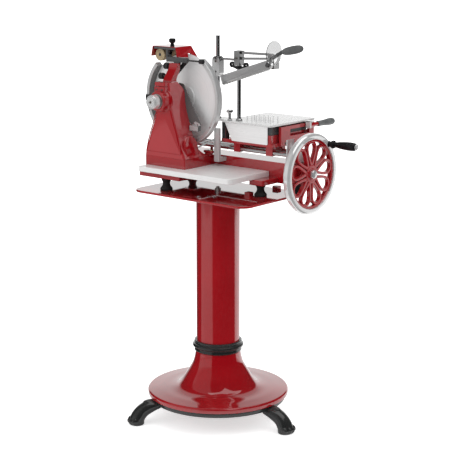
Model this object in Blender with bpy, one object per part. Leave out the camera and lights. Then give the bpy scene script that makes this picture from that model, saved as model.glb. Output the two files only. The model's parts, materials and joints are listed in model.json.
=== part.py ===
"""Hand crank meat slicer with a flywheel, on its round pedestal.

Sizes are metres. While the pieces are made, the column's axis is the origin: +X runs along the
carriage toward the flywheel, +Y points away from the person who slices, +Z is up. At the end the
whole machine moves so that the bottom centre of its bounding box is the origin.
"""

import math

import bmesh
import bpy
from mathutils import Vector

# Clearances that every piece shares
GAP = 0.0003
OVERRUN = 0.004
SINK = 0.001
SHARP_ANGLE = math.radians(38)

# Facets of round pieces
LARGE_SIDES = 32
MEDIUM_SIDES = 20
SMALL_SIDES = 12
TINY_SIDES = 8
SPIKE_SIDES = 5
BEND_STEPS = 6
CORNER_STEPS = 4

# Pedestal
COLUMN_R = 0.075
COLUMN_WALL = 0.004
BELL_R = 0.245
BELL_HEIGHT = 0.1527
BELL_NECK_R = 0.078
BELL_WALL = 0.006
LEG_COUNT = 3
PAW_R = 0.304
PAW_HALF_WIDTH = 0.034
PAW_HALF_DEPTH = 0.030
LEG_HALF_WIDTH = 0.026
LEG_HALF_T = 0.018
KNEE_R = 0.284
FOOT_RING_R = 0.235
FOOT_RING_WIDTH = 0.032
FOOT_RING_BOTTOM = 0.066
FOOT_RING_T = 0.0177
FOOT_HUB_R = 0.030
ARM_HALF_WIDTH = 0.012
ARM_T = 0.012
COLLAR_HEIGHT = 0.0393
COLLAR_R = 0.0825
COLLAR_BEAD_R = 0.0885
COLLAR_SEAT_T = 0.010
COLLAR_SEAT_R = 0.060
PLATE_TOP = 0.800
PLATE_T = 0.008
PLATE_LENGTH = 0.500
PLATE_DEPTH = 0.337
PLATE_CORNER_R = 0.045
HEAD_R = 0.110
HEAD_FLANGE_T = 0.012
HEAD_SPIGOT = 0.030
TIE_ROD_R = 0.006
TIE_NUT_R = 0.0105
TIE_NUT_T = 0.009
TIE_ROD_END = 0.006

# Feet and base frame of the machine
RUBBER_HEIGHT = 0.038
RUBBER_R = 0.021
BLOCK_SIZE = 0.022
BLOCK_HEIGHT = 0.012
BLOCK_X = 0.134
BLOCK_FRONT_Y = 0.002
BLOCK_BACK_INSET = 0.0145
BASE_LEFT = -0.262
BASE_RIGHT = 0.270
BASE_FRONT = -0.085
BASE_BACK = 0.165
BASE_HEIGHT = 0.070
BASE_WALL = 0.006
FOOT_RIGHT = -0.075
BEAM_FRONT = 0.080
LIP_DEPTH = 0.027
LIP_T = 0.0185
LUG_LENGTH = 0.056
LUG_RIGHT = 0.196
LUG_FRONT = -0.006
RIB_T = 0.011
LEDGE = 0.010
END_WALL = 0.012
PAD_LENGTH = 0.050

# Blade head
BLADE_X = -0.172
BLADE_Z = 1.103
BLADE_R = 0.150
BLADE_T = 0.003
CUT_Y = 0.0375
DISH_DEPTH = 0.0115
BLADE_HUB_R = 0.045
BLADE_SHAFT_R = 0.010
SHAFT_FLANGE_R = 0.024
RETAINER_R = 0.020
RETAINER_T = 0.002
TOWER_FRONT = -0.085
TOWER_BACK = -0.005
TOWER_TOP = 1.165
TOWER_FOOT_BACK = 0.035
TOWER_WALL = 0.005
TOWER_CORNER = 0.006
TOWER_FOOT_LEFT = 0.087
TOWER_FOOT_RIGHT = 0.094
HUB_R = 0.034
HUB_LENGTH = 0.0295
HUB_BACK_R = 0.026
HUB_BACK_LENGTH = 0.025
LUG_BLOCK_WIDTH = 0.046
LUG_BLOCK_HEIGHT = 0.036
LUG_BLOCK_DEPTH = 0.016
AXLE_KNOB_R = 0.0235
AXLE_KNOB_LENGTH = 0.0345
RING_R = 0.165
RING_INNER_R = 0.1515
RING_FRONT = 0.0085
RING_BACK = 0.0335
RING_OPEN_START = math.radians(100)
RING_OPEN_END = math.radians(136)
RING_STEPS = 36
RING_BRACKET_ANGLES = (math.radians(255), math.radians(285))
DEFLECTOR_T = 0.003
DEFLECTOR_BRACKET_T = 0.013
DEFLECTOR_BRACKET_HEIGHT = 0.018

# Drive
BEARING_R = 0.016
BEARING_WIDTH = 0.011
AXLE_Z = 0.876
AXLE_Y = 0.121
WHEEL_SHAFT_R = 0.008
CROSS_SHAFT_R = 0.007
SPINDLE_R = 0.006
SPINDLE_X = 0.205
IDLER_X = -0.130
BEVEL_TEETH = 12
BLADE_BEVEL_R = 0.022
BLADE_BEVEL_NEAR = 0.013
CHAIN_BEVEL_R = 0.018
CHAIN_BEVEL_NEAR = 0.011
BEVEL_HUB_R = 0.012
BEVEL_HUB_LENGTH = 0.008
CHAIN_PITCH = 0.008
DRIVE_TEETH = 24
BLADE_TEETH = 12
CARRIAGE_TEETH = 10
CHAIN_T = 0.005
CHAIN_WIDTH = 0.007
TOOTH_HEIGHT = 0.003
TOOTH_GAP = 0.0008
BLADE_CHAIN_Y = -0.050
CARRIAGE_CHAIN_Z = 0.934
IDLER_STUB_R = 0.005
DRIVE_PIN_LENGTH = 0.014

# Flywheel
WHEEL_X = 0.300
WHEEL_R = 0.137
RIM_INNER_R = 0.117
RIM_WIDTH = 0.026
WEB_T = 0.014
WEB_RING_INNER_R = 0.109
WEB_HUB_R = 0.030
BARREL_R = 0.021
BARREL_BACK = 0.0255
PETAL_COUNT = 9
PETAL_INNER_R = 0.036
PETAL_HALF_WIDTH = 0.0205
PETAL_BAND = 0.0065
CAP_R = 0.014
CAP_HEIGHT = 0.010
CRANK_R = 0.127
CRANK_ANGLE = math.radians(46)
CRANK_PIN_R = 0.004
CRANK_FLANGE_R = 0.0092
CRANK_FLANGE_T = 0.008
GRIP_LENGTH = 0.100
GRIP_R = 0.0145
GRIP_CAP_T = 0.006

# Guide rods and small pieces on the beam
ROD_R = 0.008
ROD_Z = 0.936
ROD_FRONT_Y = 0.094
ROD_BACK_Y = 0.148
SUPPORT_T = 0.016
SUPPORT_LEFT = -0.256
SUPPORT_RIGHT = 0.246
SUPPORT_TOP = 0.950
STOP_PLATE_TOP = 0.995
STOP_PLATE_FRONT = 0.046
STOP_PLATE_T = 0.006
POST_X = -0.040
POST_WIDTH = 0.022
POST_DEPTH = 0.010
POST_FRONT = 0.040
POST_TOP = 1.007
POST_FOOT_T = 0.014
POST_FOOT_DROP = 0.004
STAY_R = 0.003
DIAL_X = -0.088
DIAL_Y = 0.056
DIAL_BOSS_R = 0.014
DIAL_BOSS_T = 0.006
DIAL_LENGTH = 0.042
DIAL_WIDTH = 0.018
DIAL_T = 0.008

# Carriage
SADDLE_LEFT = -0.037
SADDLE_RIGHT = 0.184
SADDLE_FRONT = 0.0638
SADDLE_BACK = 0.275
SADDLE_BOTTOM = 0.958
SADDLE_T = 0.012
BUSH_LENGTH = 0.028
BUSH_HALF_WIDTH = 0.0095
BUSH_LEFT_X = 0.000
BUSH_RIGHT_X = 0.140
RAIL_LEFT_X = 0.000
RAIL_RIGHT_X = 0.148
RAIL_WIDTH = 0.028
RAIL_TOP = 0.998
SCREW_X = 0.090
SCREW_Z = 0.998
SCREW_R = 0.007
SCREW_WALL_T = 0.010
SCREW_WALL_WIDTH = 0.030
SCREW_WALL_TOP = 1.015
FEED_NUT_START = 0.080
FEED_NUT_LENGTH = 0.025
FEED_NUT_HALF = 0.0105
RATCHET_R = 0.016
RATCHET_T = 0.006
PANEL_T = 0.003
PANEL_BOTTOM = 0.966
PANEL_RIGHT = 0.165
PANEL_TOP_LEFT = -0.020
PANEL_BOTTOM_LEFT = 0.011
SIDE_T = 0.010
SIDE_FRONT = 0.100
SIDE_BACK = 0.285
SIDE_TOP = 1.0245
WINDOW_FRONT = 0.150
WINDOW_BACK = 0.258
WINDOW_BOTTOM = 0.990
WINDOW_TOP = 1.013
BUMPER_WIDTH = 0.017
BUMPER_DEPTH = 0.020
TABLE_TOP = 1.035
TABLE_T = 0.007
TABLE_LEFT = -0.025
TABLE_RIGHT = 0.187
TABLE_FRONT = 0.052
TABLE_BACK = 0.305
TONGUE_LEFT = -0.092
TONGUE_FRONT = 0.066
TONGUE_BACK = 0.120
SPIKE_COUNT = 6
SPIKE_ROWS = 2
SPIKE_PITCH = 0.020
SPIKE_ROW_PITCH = 0.028
SPIKE_X = 0.045
SPIKE_Y = 0.102
SPIKE_R = 0.0018
SPIKE_HEIGHT = 0.020
KNOB_X = 0.000
KNOB_Y = 0.063
KNOB_R = 0.0115
KNOB_HEIGHT = 0.037
EAR_T = 0.008
EAR_WIDTH = 0.020
EAR_FRONT = 0.232
EAR_BOTTOM = 1.008
HANDLE_BOSS_R = 0.0095
HANDLE_BOSS_LENGTH = 0.046
HANDLE_GRIP_R = 0.0125
HANDLE_GRIP_LENGTH = 0.094
HANDLE_Z = 1.0175

# Meat press
PRESS_POST_R = 0.007
PRESS_POST_Y = 0.080
TALL_POST_X = -0.0664
TALL_POST_TOP = 1.3188
SHORT_POST_X = 0.027
SHORT_POST_TOP = 1.270
POST_FLARE_R = 0.012
POST_FLARE_HEIGHT = 0.012
BLOCK_HALF_X = 0.012
BLOCK_HALF_Y = 0.0135
BLOCK_BOTTOM = 1.2225
BLOCK_TOP = 1.2725
CLAMP_HALF_X = 0.0165
CLAMP_HALF_Y = 0.0125
CLAMP_BOTTOM = 1.178
CLAMP_TOP = 1.249
LINK_R = 0.004
LINK_Z = 1.2405
ARM_START_Z = 1.246
ARM_END_Z = 1.255
ARM_PITCH_START = 0.020
ARM_PITCH_END = 0.013
ARM_HALF_Y = 0.006
ARM_HALF_Z = 0.004
PIVOT_X = 0.180
PIVOT_Z = 1.236
PIVOT_R = 0.005
END_HALF_X = 0.014
END_BOTTOM = 1.222
END_TOP = 1.274
END_FRONT = 0.056
BAR_FRONT = 0.0412
BAR_T = 0.0105
BAR_LENGTH = 0.210
BAR_HEIGHT = 0.034
BAR_TILT = math.radians(18)
BAR_HUB_R = 0.014
BAR_TEETH = 18
BAR_TOOTH = 0.006
LEVER_T = 0.0065
LEVER_HALF = 0.006
LEVER_RISE = math.radians(52)
LEVER_LENGTH = 0.028
ARM_RISE = math.radians(29)
ARM_LENGTH = 0.052
PADDLE_RISE = math.radians(12)
PADDLE_LENGTH = 0.086
PADDLE_HALF_HEIGHT = 0.0145
PADDLE_HALF_T = 0.011
GUARD_R = 0.041
GUARD_T = 0.003
GUARD_OFFSET = 0.020
GUARD_LIFT = 0.0405
GUARD_SLOT_SIDE = 0.0003
WING_Z = 1.2100
WING_T = 0.011
WING_HUB_R = 0.012
WING_SPAN = 0.030
WING_LOBE_R = 0.0100
WING_LOBE_Z = 1.2255
WING_HOLE_R = 0.0035
WING_BAR_HALF = 0.0045

# Sharpener
NECK_WIDTH = 0.036
NECK_DEPTH = 0.030
NECK_TOP_FRONT = -0.036
NECK_TOP_BACK = -0.0206
NECK_BEND_Z = 1.203
NECK_TOP = 1.2262
NECK_X = -0.1675
NECK_SHOULDER = 0.020
BODY_LEFT = -0.270
BODY_RIGHT = -0.172
BODY_FRONT = -0.0203
BODY_BACK = 0.060
BODY_BOTTOM = 1.2690
BODY_T = 0.0075
BODY_WALL_T = 0.008
BODY_WALL_BOTTOM = 1.225
BODY_WALL_RIGHT = -0.185
SHOULDER_T = 0.010
SHOULDER_BOTTOM = 1.2285
SHOULDER_HEIGHT = 0.016
SHOULDER_RIGHT = -0.120
WEB_X = -0.211
WEB_WIDTH = 0.008
SLIDE_LEG_BOTTOM = 1.2035
SLIDE_LEG_WIDTH = 0.024
STONE_R = 0.021
FRONT_STONE_X = -0.2556
FRONT_STONE_Z = 1.2475
FRONT_STONE_Y = -0.006
FRONT_STONE_T = 0.0185
BACK_STONE_X = -0.2226
BACK_STONE_Z = 1.2433
BACK_STONE_Y = 0.0405
BACK_STONE_T = 0.009
STONE_PIN_R = 0.005
HOOD_T = 0.002
HOOD_LEFT = -0.277
HOOD_RIGHT = -0.170
HOOD_FRONT = -0.020
HOOD_BACK = 0.062
HOOD_LEFT_DROP = 0.036
HOOD_LEFT_SPREAD = 0.008
HOOD_RIGHT_DROP = 0.033
HOOD_RIGHT_SPREAD = 0.005
HOOD_BACK_DROP = 0.040
HOOD_BACK_SPREAD = 0.030
HOOD_KNOB_X = -0.2035
HOOD_KNOB_Y = 0.000
HOOD_KNOB_R = 0.0115
HOOD_KNOB_HEIGHT = 0.027
TRIM_LEVER_X = -0.130
TRIM_LEVER_HUB_R = 0.008
TRIM_LEVER_T = 0.0045
TRIM_LEVER_LENGTH = 0.084
TRIM_LEVER_TIP_R = 0.0055
TRIM_LEVER_TILT = math.radians(30.5)
NECK_KNOB_R = 0.011
NECK_KNOB_T = 0.017
NECK_STUD_R = 0.0035
NECK_STUD_LENGTH = 0.009
UPPER_KNOB_Z = 1.214
LOWER_KNOB_Z = 1.182
ADJUSTER_R = 0.008
ADJUSTER_T = 0.016
ADJUSTER_STEM_R = 0.003
ADJUSTER_STEM = 0.053

# Slice tray
TRAY_FRONT = -0.130
TRAY_LEFT = -0.250
TRAY_RIGHT = 0.160
TRAY_DEPTH = 0.018
TRAY_SHEET = 0.003
TRAY_LIP_T = 0.0025
TRAY_CORNER_R = 0.020

# Places worked out from the sizes above
BASE_BOTTOM = PLATE_TOP + GAP + RUBBER_HEIGHT + GAP
BLOCK_BACK_Y = PLATE_DEPTH / 2 - BLOCK_BACK_INSET
BASE_TOP = BASE_BOTTOM + BASE_HEIGHT
FOOT_RING_TOP = FOOT_RING_BOTTOM + FOOT_RING_T
BELL_BOTTOM = FOOT_RING_TOP + GAP
BELL_TOP = BELL_BOTTOM + BELL_HEIGHT
COLLAR_BOTTOM = BELL_TOP + GAP
COLLAR_TOP = COLLAR_BOTTOM + COLLAR_HEIGHT
COLUMN_BOTTOM = COLLAR_BOTTOM + COLLAR_SEAT_T + GAP
HEAD_TOP = PLATE_TOP - PLATE_T
COLUMN_TOP = HEAD_TOP - HEAD_FLANGE_T - GAP
TABLE_BOTTOM = TABLE_TOP - TABLE_T
CHAIN_HALF_WIDTH = CHAIN_WIDTH / 2
BLADE = Vector((BLADE_X, 0, BLADE_Z))
AXLE = Vector((0, AXLE_Y, AXLE_Z))
PIVOT = Vector((PIVOT_X, 0, PIVOT_Z))


def material(name, colour, roughness, metallic, alpha=1.0):
    """A plain finish: base colour, roughness and metal share."""
    made = bpy.data.materials.new(name)
    made.use_nodes = True
    shader = made.node_tree.nodes["Principled BSDF"]
    shader.inputs["Base Color"].default_value = (*colour, 1.0)
    shader.inputs["Roughness"].default_value = roughness
    shader.inputs["Metallic"].default_value = metallic
    shader.inputs["Alpha"].default_value = alpha
    return made


def start_empty():
    """Removes what the scene holds already."""
    for old in list(bpy.data.objects):
        bpy.data.objects.remove(old, do_unlink=True)


# Carriers: an empty on each joint's axis, in a tree


def carrier(name, place, parent=None):
    """An empty at a place of the machine; pieces that move together hang from one."""
    empty = bpy.data.objects.new(name, None)
    bpy.context.scene.collection.objects.link(empty)
    empty["place"] = tuple(place)
    origin = Vector(parent["place"]) if parent else Vector((0, 0, 0))
    empty.parent = parent
    empty.location = Vector(place) - origin
    return empty


def piece(name, bm, finish, holder, guide=False):
    """Turns a mesh drawn in machine places into an object that its holder carries."""
    bmesh.ops.recalc_face_normals(bm, faces=bm.faces)
    bmesh.ops.translate(bm, verts=bm.verts, vec=-Vector(holder["place"]))
    mesh = bpy.data.meshes.new(name)
    bm.to_mesh(mesh)
    bm.free()
    mesh.materials.append(finish)
    mesh.shade_smooth()
    mesh.set_sharp_from_angle(angle=SHARP_ANGLE)
    made = bpy.data.objects.new(name, mesh)
    bpy.context.scene.collection.objects.link(made)
    made.parent = holder
    if guide:
        made.hide_render = True
        made.display_type = "WIRE"
    return made


def shaped(name, finish, holder, body, joined=(), cuts=()):
    """A piece whose body is joined with further solids and then cut by others."""
    made = piece(name, body, finish, holder)
    for operation, solids in (("UNION", joined), ("DIFFERENCE", cuts)):
        for index, solid in enumerate(solids):
            guide = piece(f"{name}_{operation.lower()}_{index}", solid, finish, holder, guide=True)
            modifier = made.modifiers.new(f"{operation.lower()}_{index}", "BOOLEAN")
            modifier.operation = operation
            modifier.solver = "EXACT"
            modifier.object = guide
    return made


# Solids


def to_space(axis, u, v, along):
    """A point from the two coordinates across an axis and the one along it."""
    if axis == "X":
        return Vector((along, u, v))
    if axis == "Y":
        return Vector((u, along, v))
    return Vector((u, v, along))


def box(low, high, bm=None):
    bm = bm or bmesh.new()
    corners = [
        bm.verts.new((x, y, z)) for x in (low[0], high[0]) for y in (low[1], high[1]) for z in (low[2], high[2])
    ]
    for face in ((0, 1, 3, 2), (4, 6, 7, 5), (0, 4, 5, 1), (2, 3, 7, 6), (0, 2, 6, 4), (1, 5, 7, 3)):
        bm.faces.new([corners[index] for index in face])
    return bm


def turned(profile, centre, axis, sides, ring=False, bm=None):
    """A solid of revolution. The profile lists (radius, place along the axis); a ring closes on itself."""
    bm = bm or bmesh.new()
    cu, cv = [c for c, name in zip(centre, "XYZ") if name != axis]
    rows = []
    for radius, along in profile:
        if radius == 0:
            rows.append([bm.verts.new(to_space(axis, cu, cv, along))])
            continue
        row = []
        for index in range(sides):
            angle = math.tau * index / sides
            u = cu + radius * math.cos(angle)
            v = cv + radius * math.sin(angle)
            row.append(bm.verts.new(to_space(axis, u, v, along)))
        rows.append(row)
    pairs = list(zip(rows, rows[1:]))
    if ring:
        pairs.append((rows[-1], rows[0]))
    for one, two in pairs:
        for index in range(sides):
            after = (index + 1) % sides
            corners = [one[index % len(one)], one[after % len(one)]]
            corners += [two[after % len(two)], two[index % len(two)]]
            bm.faces.new(list(dict.fromkeys(corners)))
    if not ring:
        for row in (rows[0], rows[-1]):
            if len(row) > 1:
                bm.faces.new(row)
    return bm


def cylinder(radius, low, high, centre, axis, sides, bm=None):
    return turned([(radius, low), (radius, high)], centre, axis, sides, bm=bm)


def running(radius, sides=SMALL_SIDES):
    """The bore for a round piece that turns in it: its facets stay clear all the way round."""
    return (radius + GAP) / math.cos(math.pi / sides)


def tube(radius, bore, low, high, centre, axis, sides, bm=None):
    profile = [(radius, low), (radius, high), (bore, high), (bore, low)]
    return turned(profile, centre, axis, sides, ring=True, bm=bm)


def prism(outline, axis, low, high, bm=None):
    """An outline of (u, v) points swept along an axis."""
    bm = bm or bmesh.new()
    ends = [[bm.verts.new(to_space(axis, u, v, along)) for u, v in outline] for along in (low, high)]
    count = len(outline)
    for index in range(count):
        after = (index + 1) % count
        bm.faces.new((ends[0][index], ends[0][after], ends[1][after], ends[1][index]))
    bm.faces.new(ends[0])
    bm.faces.new(ends[1])
    return bm


def pierced(outline, holes, axis, low, high):
    """A plate with holes: the outline filled around them, then swept along the axis."""
    bm = bmesh.new()
    for loop in (outline, *holes):
        verts = [bm.verts.new(to_space(axis, u, v, low)) for u, v in loop]
        for index, vert in enumerate(verts):
            bm.edges.new((vert, verts[(index + 1) % len(verts)]))
    bmesh.ops.triangle_fill(bm, use_beauty=True, use_dissolve=False, edges=bm.edges[:])
    swept = bmesh.ops.extrude_face_region(bm, geom=bm.faces[:], use_keep_orig=True)
    moved = [item for item in swept["geom"] if isinstance(item, bmesh.types.BMVert)]
    bmesh.ops.translate(bm, verts=moved, vec=to_space(axis, 0, 0, high - low))
    return bm


def loft(rings, bm=None):
    """A solid through rings of equal point counts, closed at both ends."""
    bm = bm or bmesh.new()
    rows = [[bm.verts.new(point) for point in ring] for ring in rings]
    count = len(rows[0])
    for one, two in zip(rows, rows[1:]):
        for index in range(count):
            after = (index + 1) % count
            bm.faces.new((one[index], one[after], two[after], two[index]))
    bm.faces.new(rows[0])
    bm.faces.new(rows[-1])
    return bm


def rod(start, end, radius, sides, bm=None):
    """A round bar between two places."""
    start = Vector(start)
    end = Vector(end)
    along = (end - start).normalized()
    turn = along.to_track_quat("Z", "Y")
    rings = []
    for place in (start, end):
        ring = []
        for index in range(sides):
            angle = math.tau * index / sides
            ring.append(place + turn @ Vector((radius * math.cos(angle), radius * math.sin(angle), 0)))
        rings.append(ring)
    return loft(rings, bm)


# Outlines


def circle(radius, sides, cu=0.0, cv=0.0):
    return arc(radius, 0, math.tau, sides, cu, cv)[:-1]


def arc(radius, start, end, steps, cu=0.0, cv=0.0):
    angles = [start + (end - start) * step / steps for step in range(steps + 1)]
    return [(cu + radius * math.cos(angle), cv + radius * math.sin(angle)) for angle in angles]


def rounded(low, high, radius, steps=CORNER_STEPS):
    """A rectangle with round corners."""
    quarter = math.pi / 2
    corners = (
        (high[0] - radius, high[1] - radius, 0),
        (low[0] + radius, high[1] - radius, quarter),
        (low[0] + radius, low[1] + radius, math.pi),
        (high[0] - radius, low[1] + radius, math.pi + quarter),
    )
    outline = []
    for cu, cv, start in corners:
        outline += arc(radius, start, start + quarter, steps, cu, cv)
    return outline


def around_two(near, near_r, far, far_r, steps):
    """The outline of a band round two circles."""
    du = far[0] - near[0]
    dv = far[1] - near[1]
    heading = math.atan2(dv, du)
    lean = math.acos((near_r - far_r) / math.hypot(du, dv))
    outline = arc(near_r, heading + lean, heading + math.tau - lean, steps, *near)
    return outline + arc(far_r, heading - lean, heading + lean, steps, *far)


def toothed(radius, teeth, cu=0.0, cv=0.0):
    """A sprocket's outline, one point on each tooth and one in each gap."""
    outline = []
    for index in range(teeth * 2):
        reach = radius if index % 2 == 0 else radius - TOOTH_HEIGHT
        angle = math.pi * index / teeth
        outline.append((cu + reach * math.cos(angle), cv + reach * math.sin(angle)))
    return outline


def chain_radius(teeth):
    """The pitch radius of a sprocket."""
    return CHAIN_PITCH / 2 / math.sin(math.pi / teeth)


BEVEL_TIP_SHARE = 1.05
BEVEL_ROOT_SHARE = 0.90
BEVEL_TIP_HALF_SHARE = 0.13
BEVEL_ROOT_HALF_SHARE = 0.26


def bevel_gear(apex, axis, far, near, side, turned_half_tooth, bm=None):
    """A 45 degree bevel gear: at each distance from the apex its radius equals that distance."""
    pitch = math.tau / BEVEL_TEETH
    shift = pitch / 2 if turned_half_tooth else 0.0
    cu, cv = [c for c, name in zip(apex, "XYZ") if name != axis]
    start = apex["XYZ".index(axis)]
    rings = []
    for reach in (near, far):
        ring = []
        for tooth in range(BEVEL_TEETH):
            centre = pitch * tooth + shift
            for size, across in (
                (BEVEL_ROOT_SHARE, -BEVEL_ROOT_HALF_SHARE),
                (BEVEL_TIP_SHARE, -BEVEL_TIP_HALF_SHARE),
                (BEVEL_TIP_SHARE, BEVEL_TIP_HALF_SHARE),
                (BEVEL_ROOT_SHARE, BEVEL_ROOT_HALF_SHARE),
            ):
                angle = centre + across * pitch
                u = cu + reach * size * math.cos(angle)
                v = cv + reach * size * math.sin(angle)
                ring.append(to_space(axis, u, v, start + side * reach))
        rings.append(ring)
    return loft(rings, bm)


# Pedestal


def make_pedestal(frame, finishes):
    red = finishes["red_enamel"]
    black = finishes["black_casting"]
    steel = finishes["steel"]

    hub_bottom = FOOT_RING_BOTTOM - TIE_NUT_T / 2
    ring = tube(
        FOOT_RING_R, FOOT_RING_R - FOOT_RING_WIDTH, FOOT_RING_BOTTOM, FOOT_RING_TOP, (0, 0, 0), "Z", LARGE_SIDES
    )
    solids = []
    for index in range(LEG_COUNT):
        heading = math.tau * index / LEG_COUNT
        out = Vector((math.cos(heading), math.sin(heading), 0))
        solids.append(leg(out))
        solids.append(spoke_arm(out))
    hub = cylinder(FOOT_HUB_R, hub_bottom, FOOT_RING_TOP, (0, 0, 0), "Z", MEDIUM_SIDES)
    bore = cylinder(TIE_ROD_R + GAP, hub_bottom - OVERRUN, FOOT_RING_TOP + OVERRUN, (0, 0, 0), "Z", SMALL_SIDES)
    shaped("pedestal_legs", black, frame, ring, joined=[*solids, hub], cuts=[bore])

    piece("pedestal_bell", turned(bell_profile(), (0, 0, 0), "Z", LARGE_SIDES, ring=True), red, frame)
    piece("column_collar", turned(collar_profile(), (0, 0, 0), "Z", LARGE_SIDES, ring=True), black, frame)
    shell = tube(COLUMN_R, COLUMN_R - COLUMN_WALL, COLUMN_BOTTOM, COLUMN_TOP, (0, 0, 0), "Z", LARGE_SIDES)
    piece("column_tube", shell, red, frame)

    spigot_r = COLUMN_R - COLUMN_WALL - GAP
    head_bottom = HEAD_TOP - HEAD_FLANGE_T
    outline = rounded(
        (-PLATE_LENGTH / 2, -PLATE_DEPTH / 2), (PLATE_LENGTH / 2, PLATE_DEPTH / 2), PLATE_CORNER_R
    )
    plate = prism(outline, "Z", HEAD_TOP, PLATE_TOP)
    profile = [
        (0, PLATE_TOP - PLATE_T / 2),
        (HEAD_R, PLATE_TOP - PLATE_T / 2),
        (HEAD_R, head_bottom),
        (spigot_r, head_bottom),
        (spigot_r, head_bottom - HEAD_SPIGOT),
        (0, head_bottom - HEAD_SPIGOT),
    ]
    head = turned(profile, (0, 0, 0), "Z", LARGE_SIDES)
    blocks = []
    for y in (BLOCK_FRONT_Y, BLOCK_BACK_Y):
        low = (BLOCK_X - BLOCK_SIZE / 2, y - BLOCK_SIZE / 2, PLATE_TOP - SINK)
        high = (BLOCK_X + BLOCK_SIZE / 2, y + BLOCK_SIZE / 2, PLATE_TOP + BLOCK_HEIGHT)
        blocks.append(box(low, high))
    bore = cylinder(
        TIE_ROD_R + GAP, head_bottom - HEAD_SPIGOT - OVERRUN, PLATE_TOP + OVERRUN, (0, 0, 0), "Z", SMALL_SIDES
    )
    shaped("pedestal_plate", red, frame, plate, joined=[head, *blocks], cuts=[bore])

    nut_bottom = hub_bottom - GAP - TIE_NUT_T
    nut_top = PLATE_TOP + GAP + TIE_NUT_T
    tie = turned(
        [
            (0, nut_bottom - TIE_ROD_END),
            (TIE_ROD_R, nut_bottom - TIE_ROD_END),
            (TIE_ROD_R, nut_bottom),
            (TIE_NUT_R, nut_bottom),
            (TIE_NUT_R, nut_bottom + TIE_NUT_T),
            (TIE_ROD_R, nut_bottom + TIE_NUT_T),
            (TIE_ROD_R, nut_top - TIE_NUT_T),
            (TIE_NUT_R, nut_top - TIE_NUT_T),
            (TIE_NUT_R, nut_top),
            (TIE_ROD_R, nut_top),
            (TIE_ROD_R, nut_top + TIE_ROD_END),
            (0, nut_top + TIE_ROD_END),
        ],
        (0, 0, 0),
        "Z",
        TINY_SIDES,
    )
    piece("tie_rod", tie, steel, frame)


def leg(out):
    """One leg: from the ring out to the knee and down to a broad paw with a flat sole."""
    side = Vector((-out.y, out.x, 0))
    mid = FOOT_RING_BOTTOM + FOOT_RING_T / 2
    start_r = FOOT_RING_R - FOOT_RING_WIDTH / 2
    knee_z = FOOT_RING_BOTTOM
    sole = math.pi / 2
    stations = (
        (start_r, mid, 0, LEG_HALF_WIDTH, FOOT_RING_T / 2 - SINK),
        (FOOT_RING_R + GAP, mid - SINK, 0, LEG_HALF_WIDTH, FOOT_RING_T / 2 - SINK),
        (KNEE_R, knee_z, sole / 2, LEG_HALF_WIDTH, LEG_HALF_T),
        (PAW_R - LEG_HALF_T / 2, knee_z / 2, sole * ANKLE_TURN_SHARE, LEG_HALF_WIDTH, LEG_HALF_T),
        (PAW_R, knee_z * PAW_TOP_SHARE, sole, PAW_HALF_WIDTH, PAW_HALF_DEPTH),
        (PAW_R, 0, sole, PAW_HALF_WIDTH, PAW_HALF_DEPTH),
    )
    rings = []
    for radius, height, angle, half_width, half_t in stations:
        across = out * math.sin(angle) + Vector((0, 0, math.cos(angle)))
        middle = out * radius + Vector((0, 0, height))
        ring = []
        for index in range(TINY_SIDES):
            turn = math.tau * (index + 1 / 2) / TINY_SIDES
            ring.append(middle + side * half_width * math.cos(turn) + across * half_t * math.sin(turn))
        rings.append(ring)
    return loft(rings)


ANKLE_TURN_SHARE = 0.9
PAW_TOP_SHARE = 0.35


def spoke_arm(out):
    """A flat arm under the bell, from the middle boss to the ring."""
    side = Vector((-out.y, out.x, 0)) * ARM_HALF_WIDTH
    reach = out * (FOOT_RING_R - FOOT_RING_WIDTH / 2)
    rings = []
    for middle in (out * FOOT_HUB_R / 2, reach):
        ring = []
        for across, height in ((-1, SINK), (1, SINK), (1, SINK + ARM_T), (-1, SINK + ARM_T)):
            ring.append(middle + side * across + Vector((0, 0, FOOT_RING_BOTTOM + height)))
        rings.append(ring)
    return loft(rings)


BELL_OUTER_SHARES = (
    (1.00, 0.02),
    (1.00, 0.09),
    (0.985, 0.12),
    (0.82, 0.145),
    (0.61, 0.18),
    (0.535, 0.26),
    (0.437, 0.50),
    (0.359, 0.715),
    (0.333, 0.86),
)


def bell_profile():
    """The bell: a broad, nearly flat disc that flares up to the neck."""
    outer = [(BELL_R * r, BELL_BOTTOM + BELL_HEIGHT * z) for r, z in BELL_OUTER_SHARES]
    seat_r = FOOT_RING_R - FOOT_RING_WIDTH
    neck = [(BELL_NECK_R, BELL_TOP), (BELL_NECK_R - BELL_WALL, BELL_TOP)]
    profile = [(BELL_R - SINK, BELL_BOTTOM), *outer, *neck]
    for r, z in reversed(BELL_OUTER_SHARES[3:]):
        height = BELL_BOTTOM + BELL_HEIGHT * z - BELL_WALL
        profile.append((min(BELL_R * r - BELL_WALL / 2, seat_r), height))
    profile.append((seat_r, BELL_BOTTOM))
    return profile


COLLAR_OUTER_SHARES = (
    (0.00, 0.955),
    (0.10, 1.000),
    (0.34, 0.985),
    (0.40, 1.050),
    (0.54, 1.073),
    (0.68, 1.045),
    (0.76, 0.985),
    (0.87, 1.010),
    (0.96, 1.000),
    (1.00, 0.970),
)


def collar_profile():
    """The collar: a plain band, a bead and a thin bead, round the foot of the column."""
    widest = COLLAR_BEAD_R / COLLAR_R
    profile = []
    for z, r in COLLAR_OUTER_SHARES:
        profile.append((COLLAR_R * min(r, widest), COLLAR_BOTTOM + COLLAR_HEIGHT * z))
    bore = COLUMN_R + GAP
    profile.append((bore, COLLAR_TOP))
    profile.append((bore, COLLAR_BOTTOM + COLLAR_SEAT_T))
    profile.append((COLLAR_SEAT_R, COLLAR_BOTTOM + COLLAR_SEAT_T))
    profile.append((COLLAR_SEAT_R, COLLAR_BOTTOM))
    return profile


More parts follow.
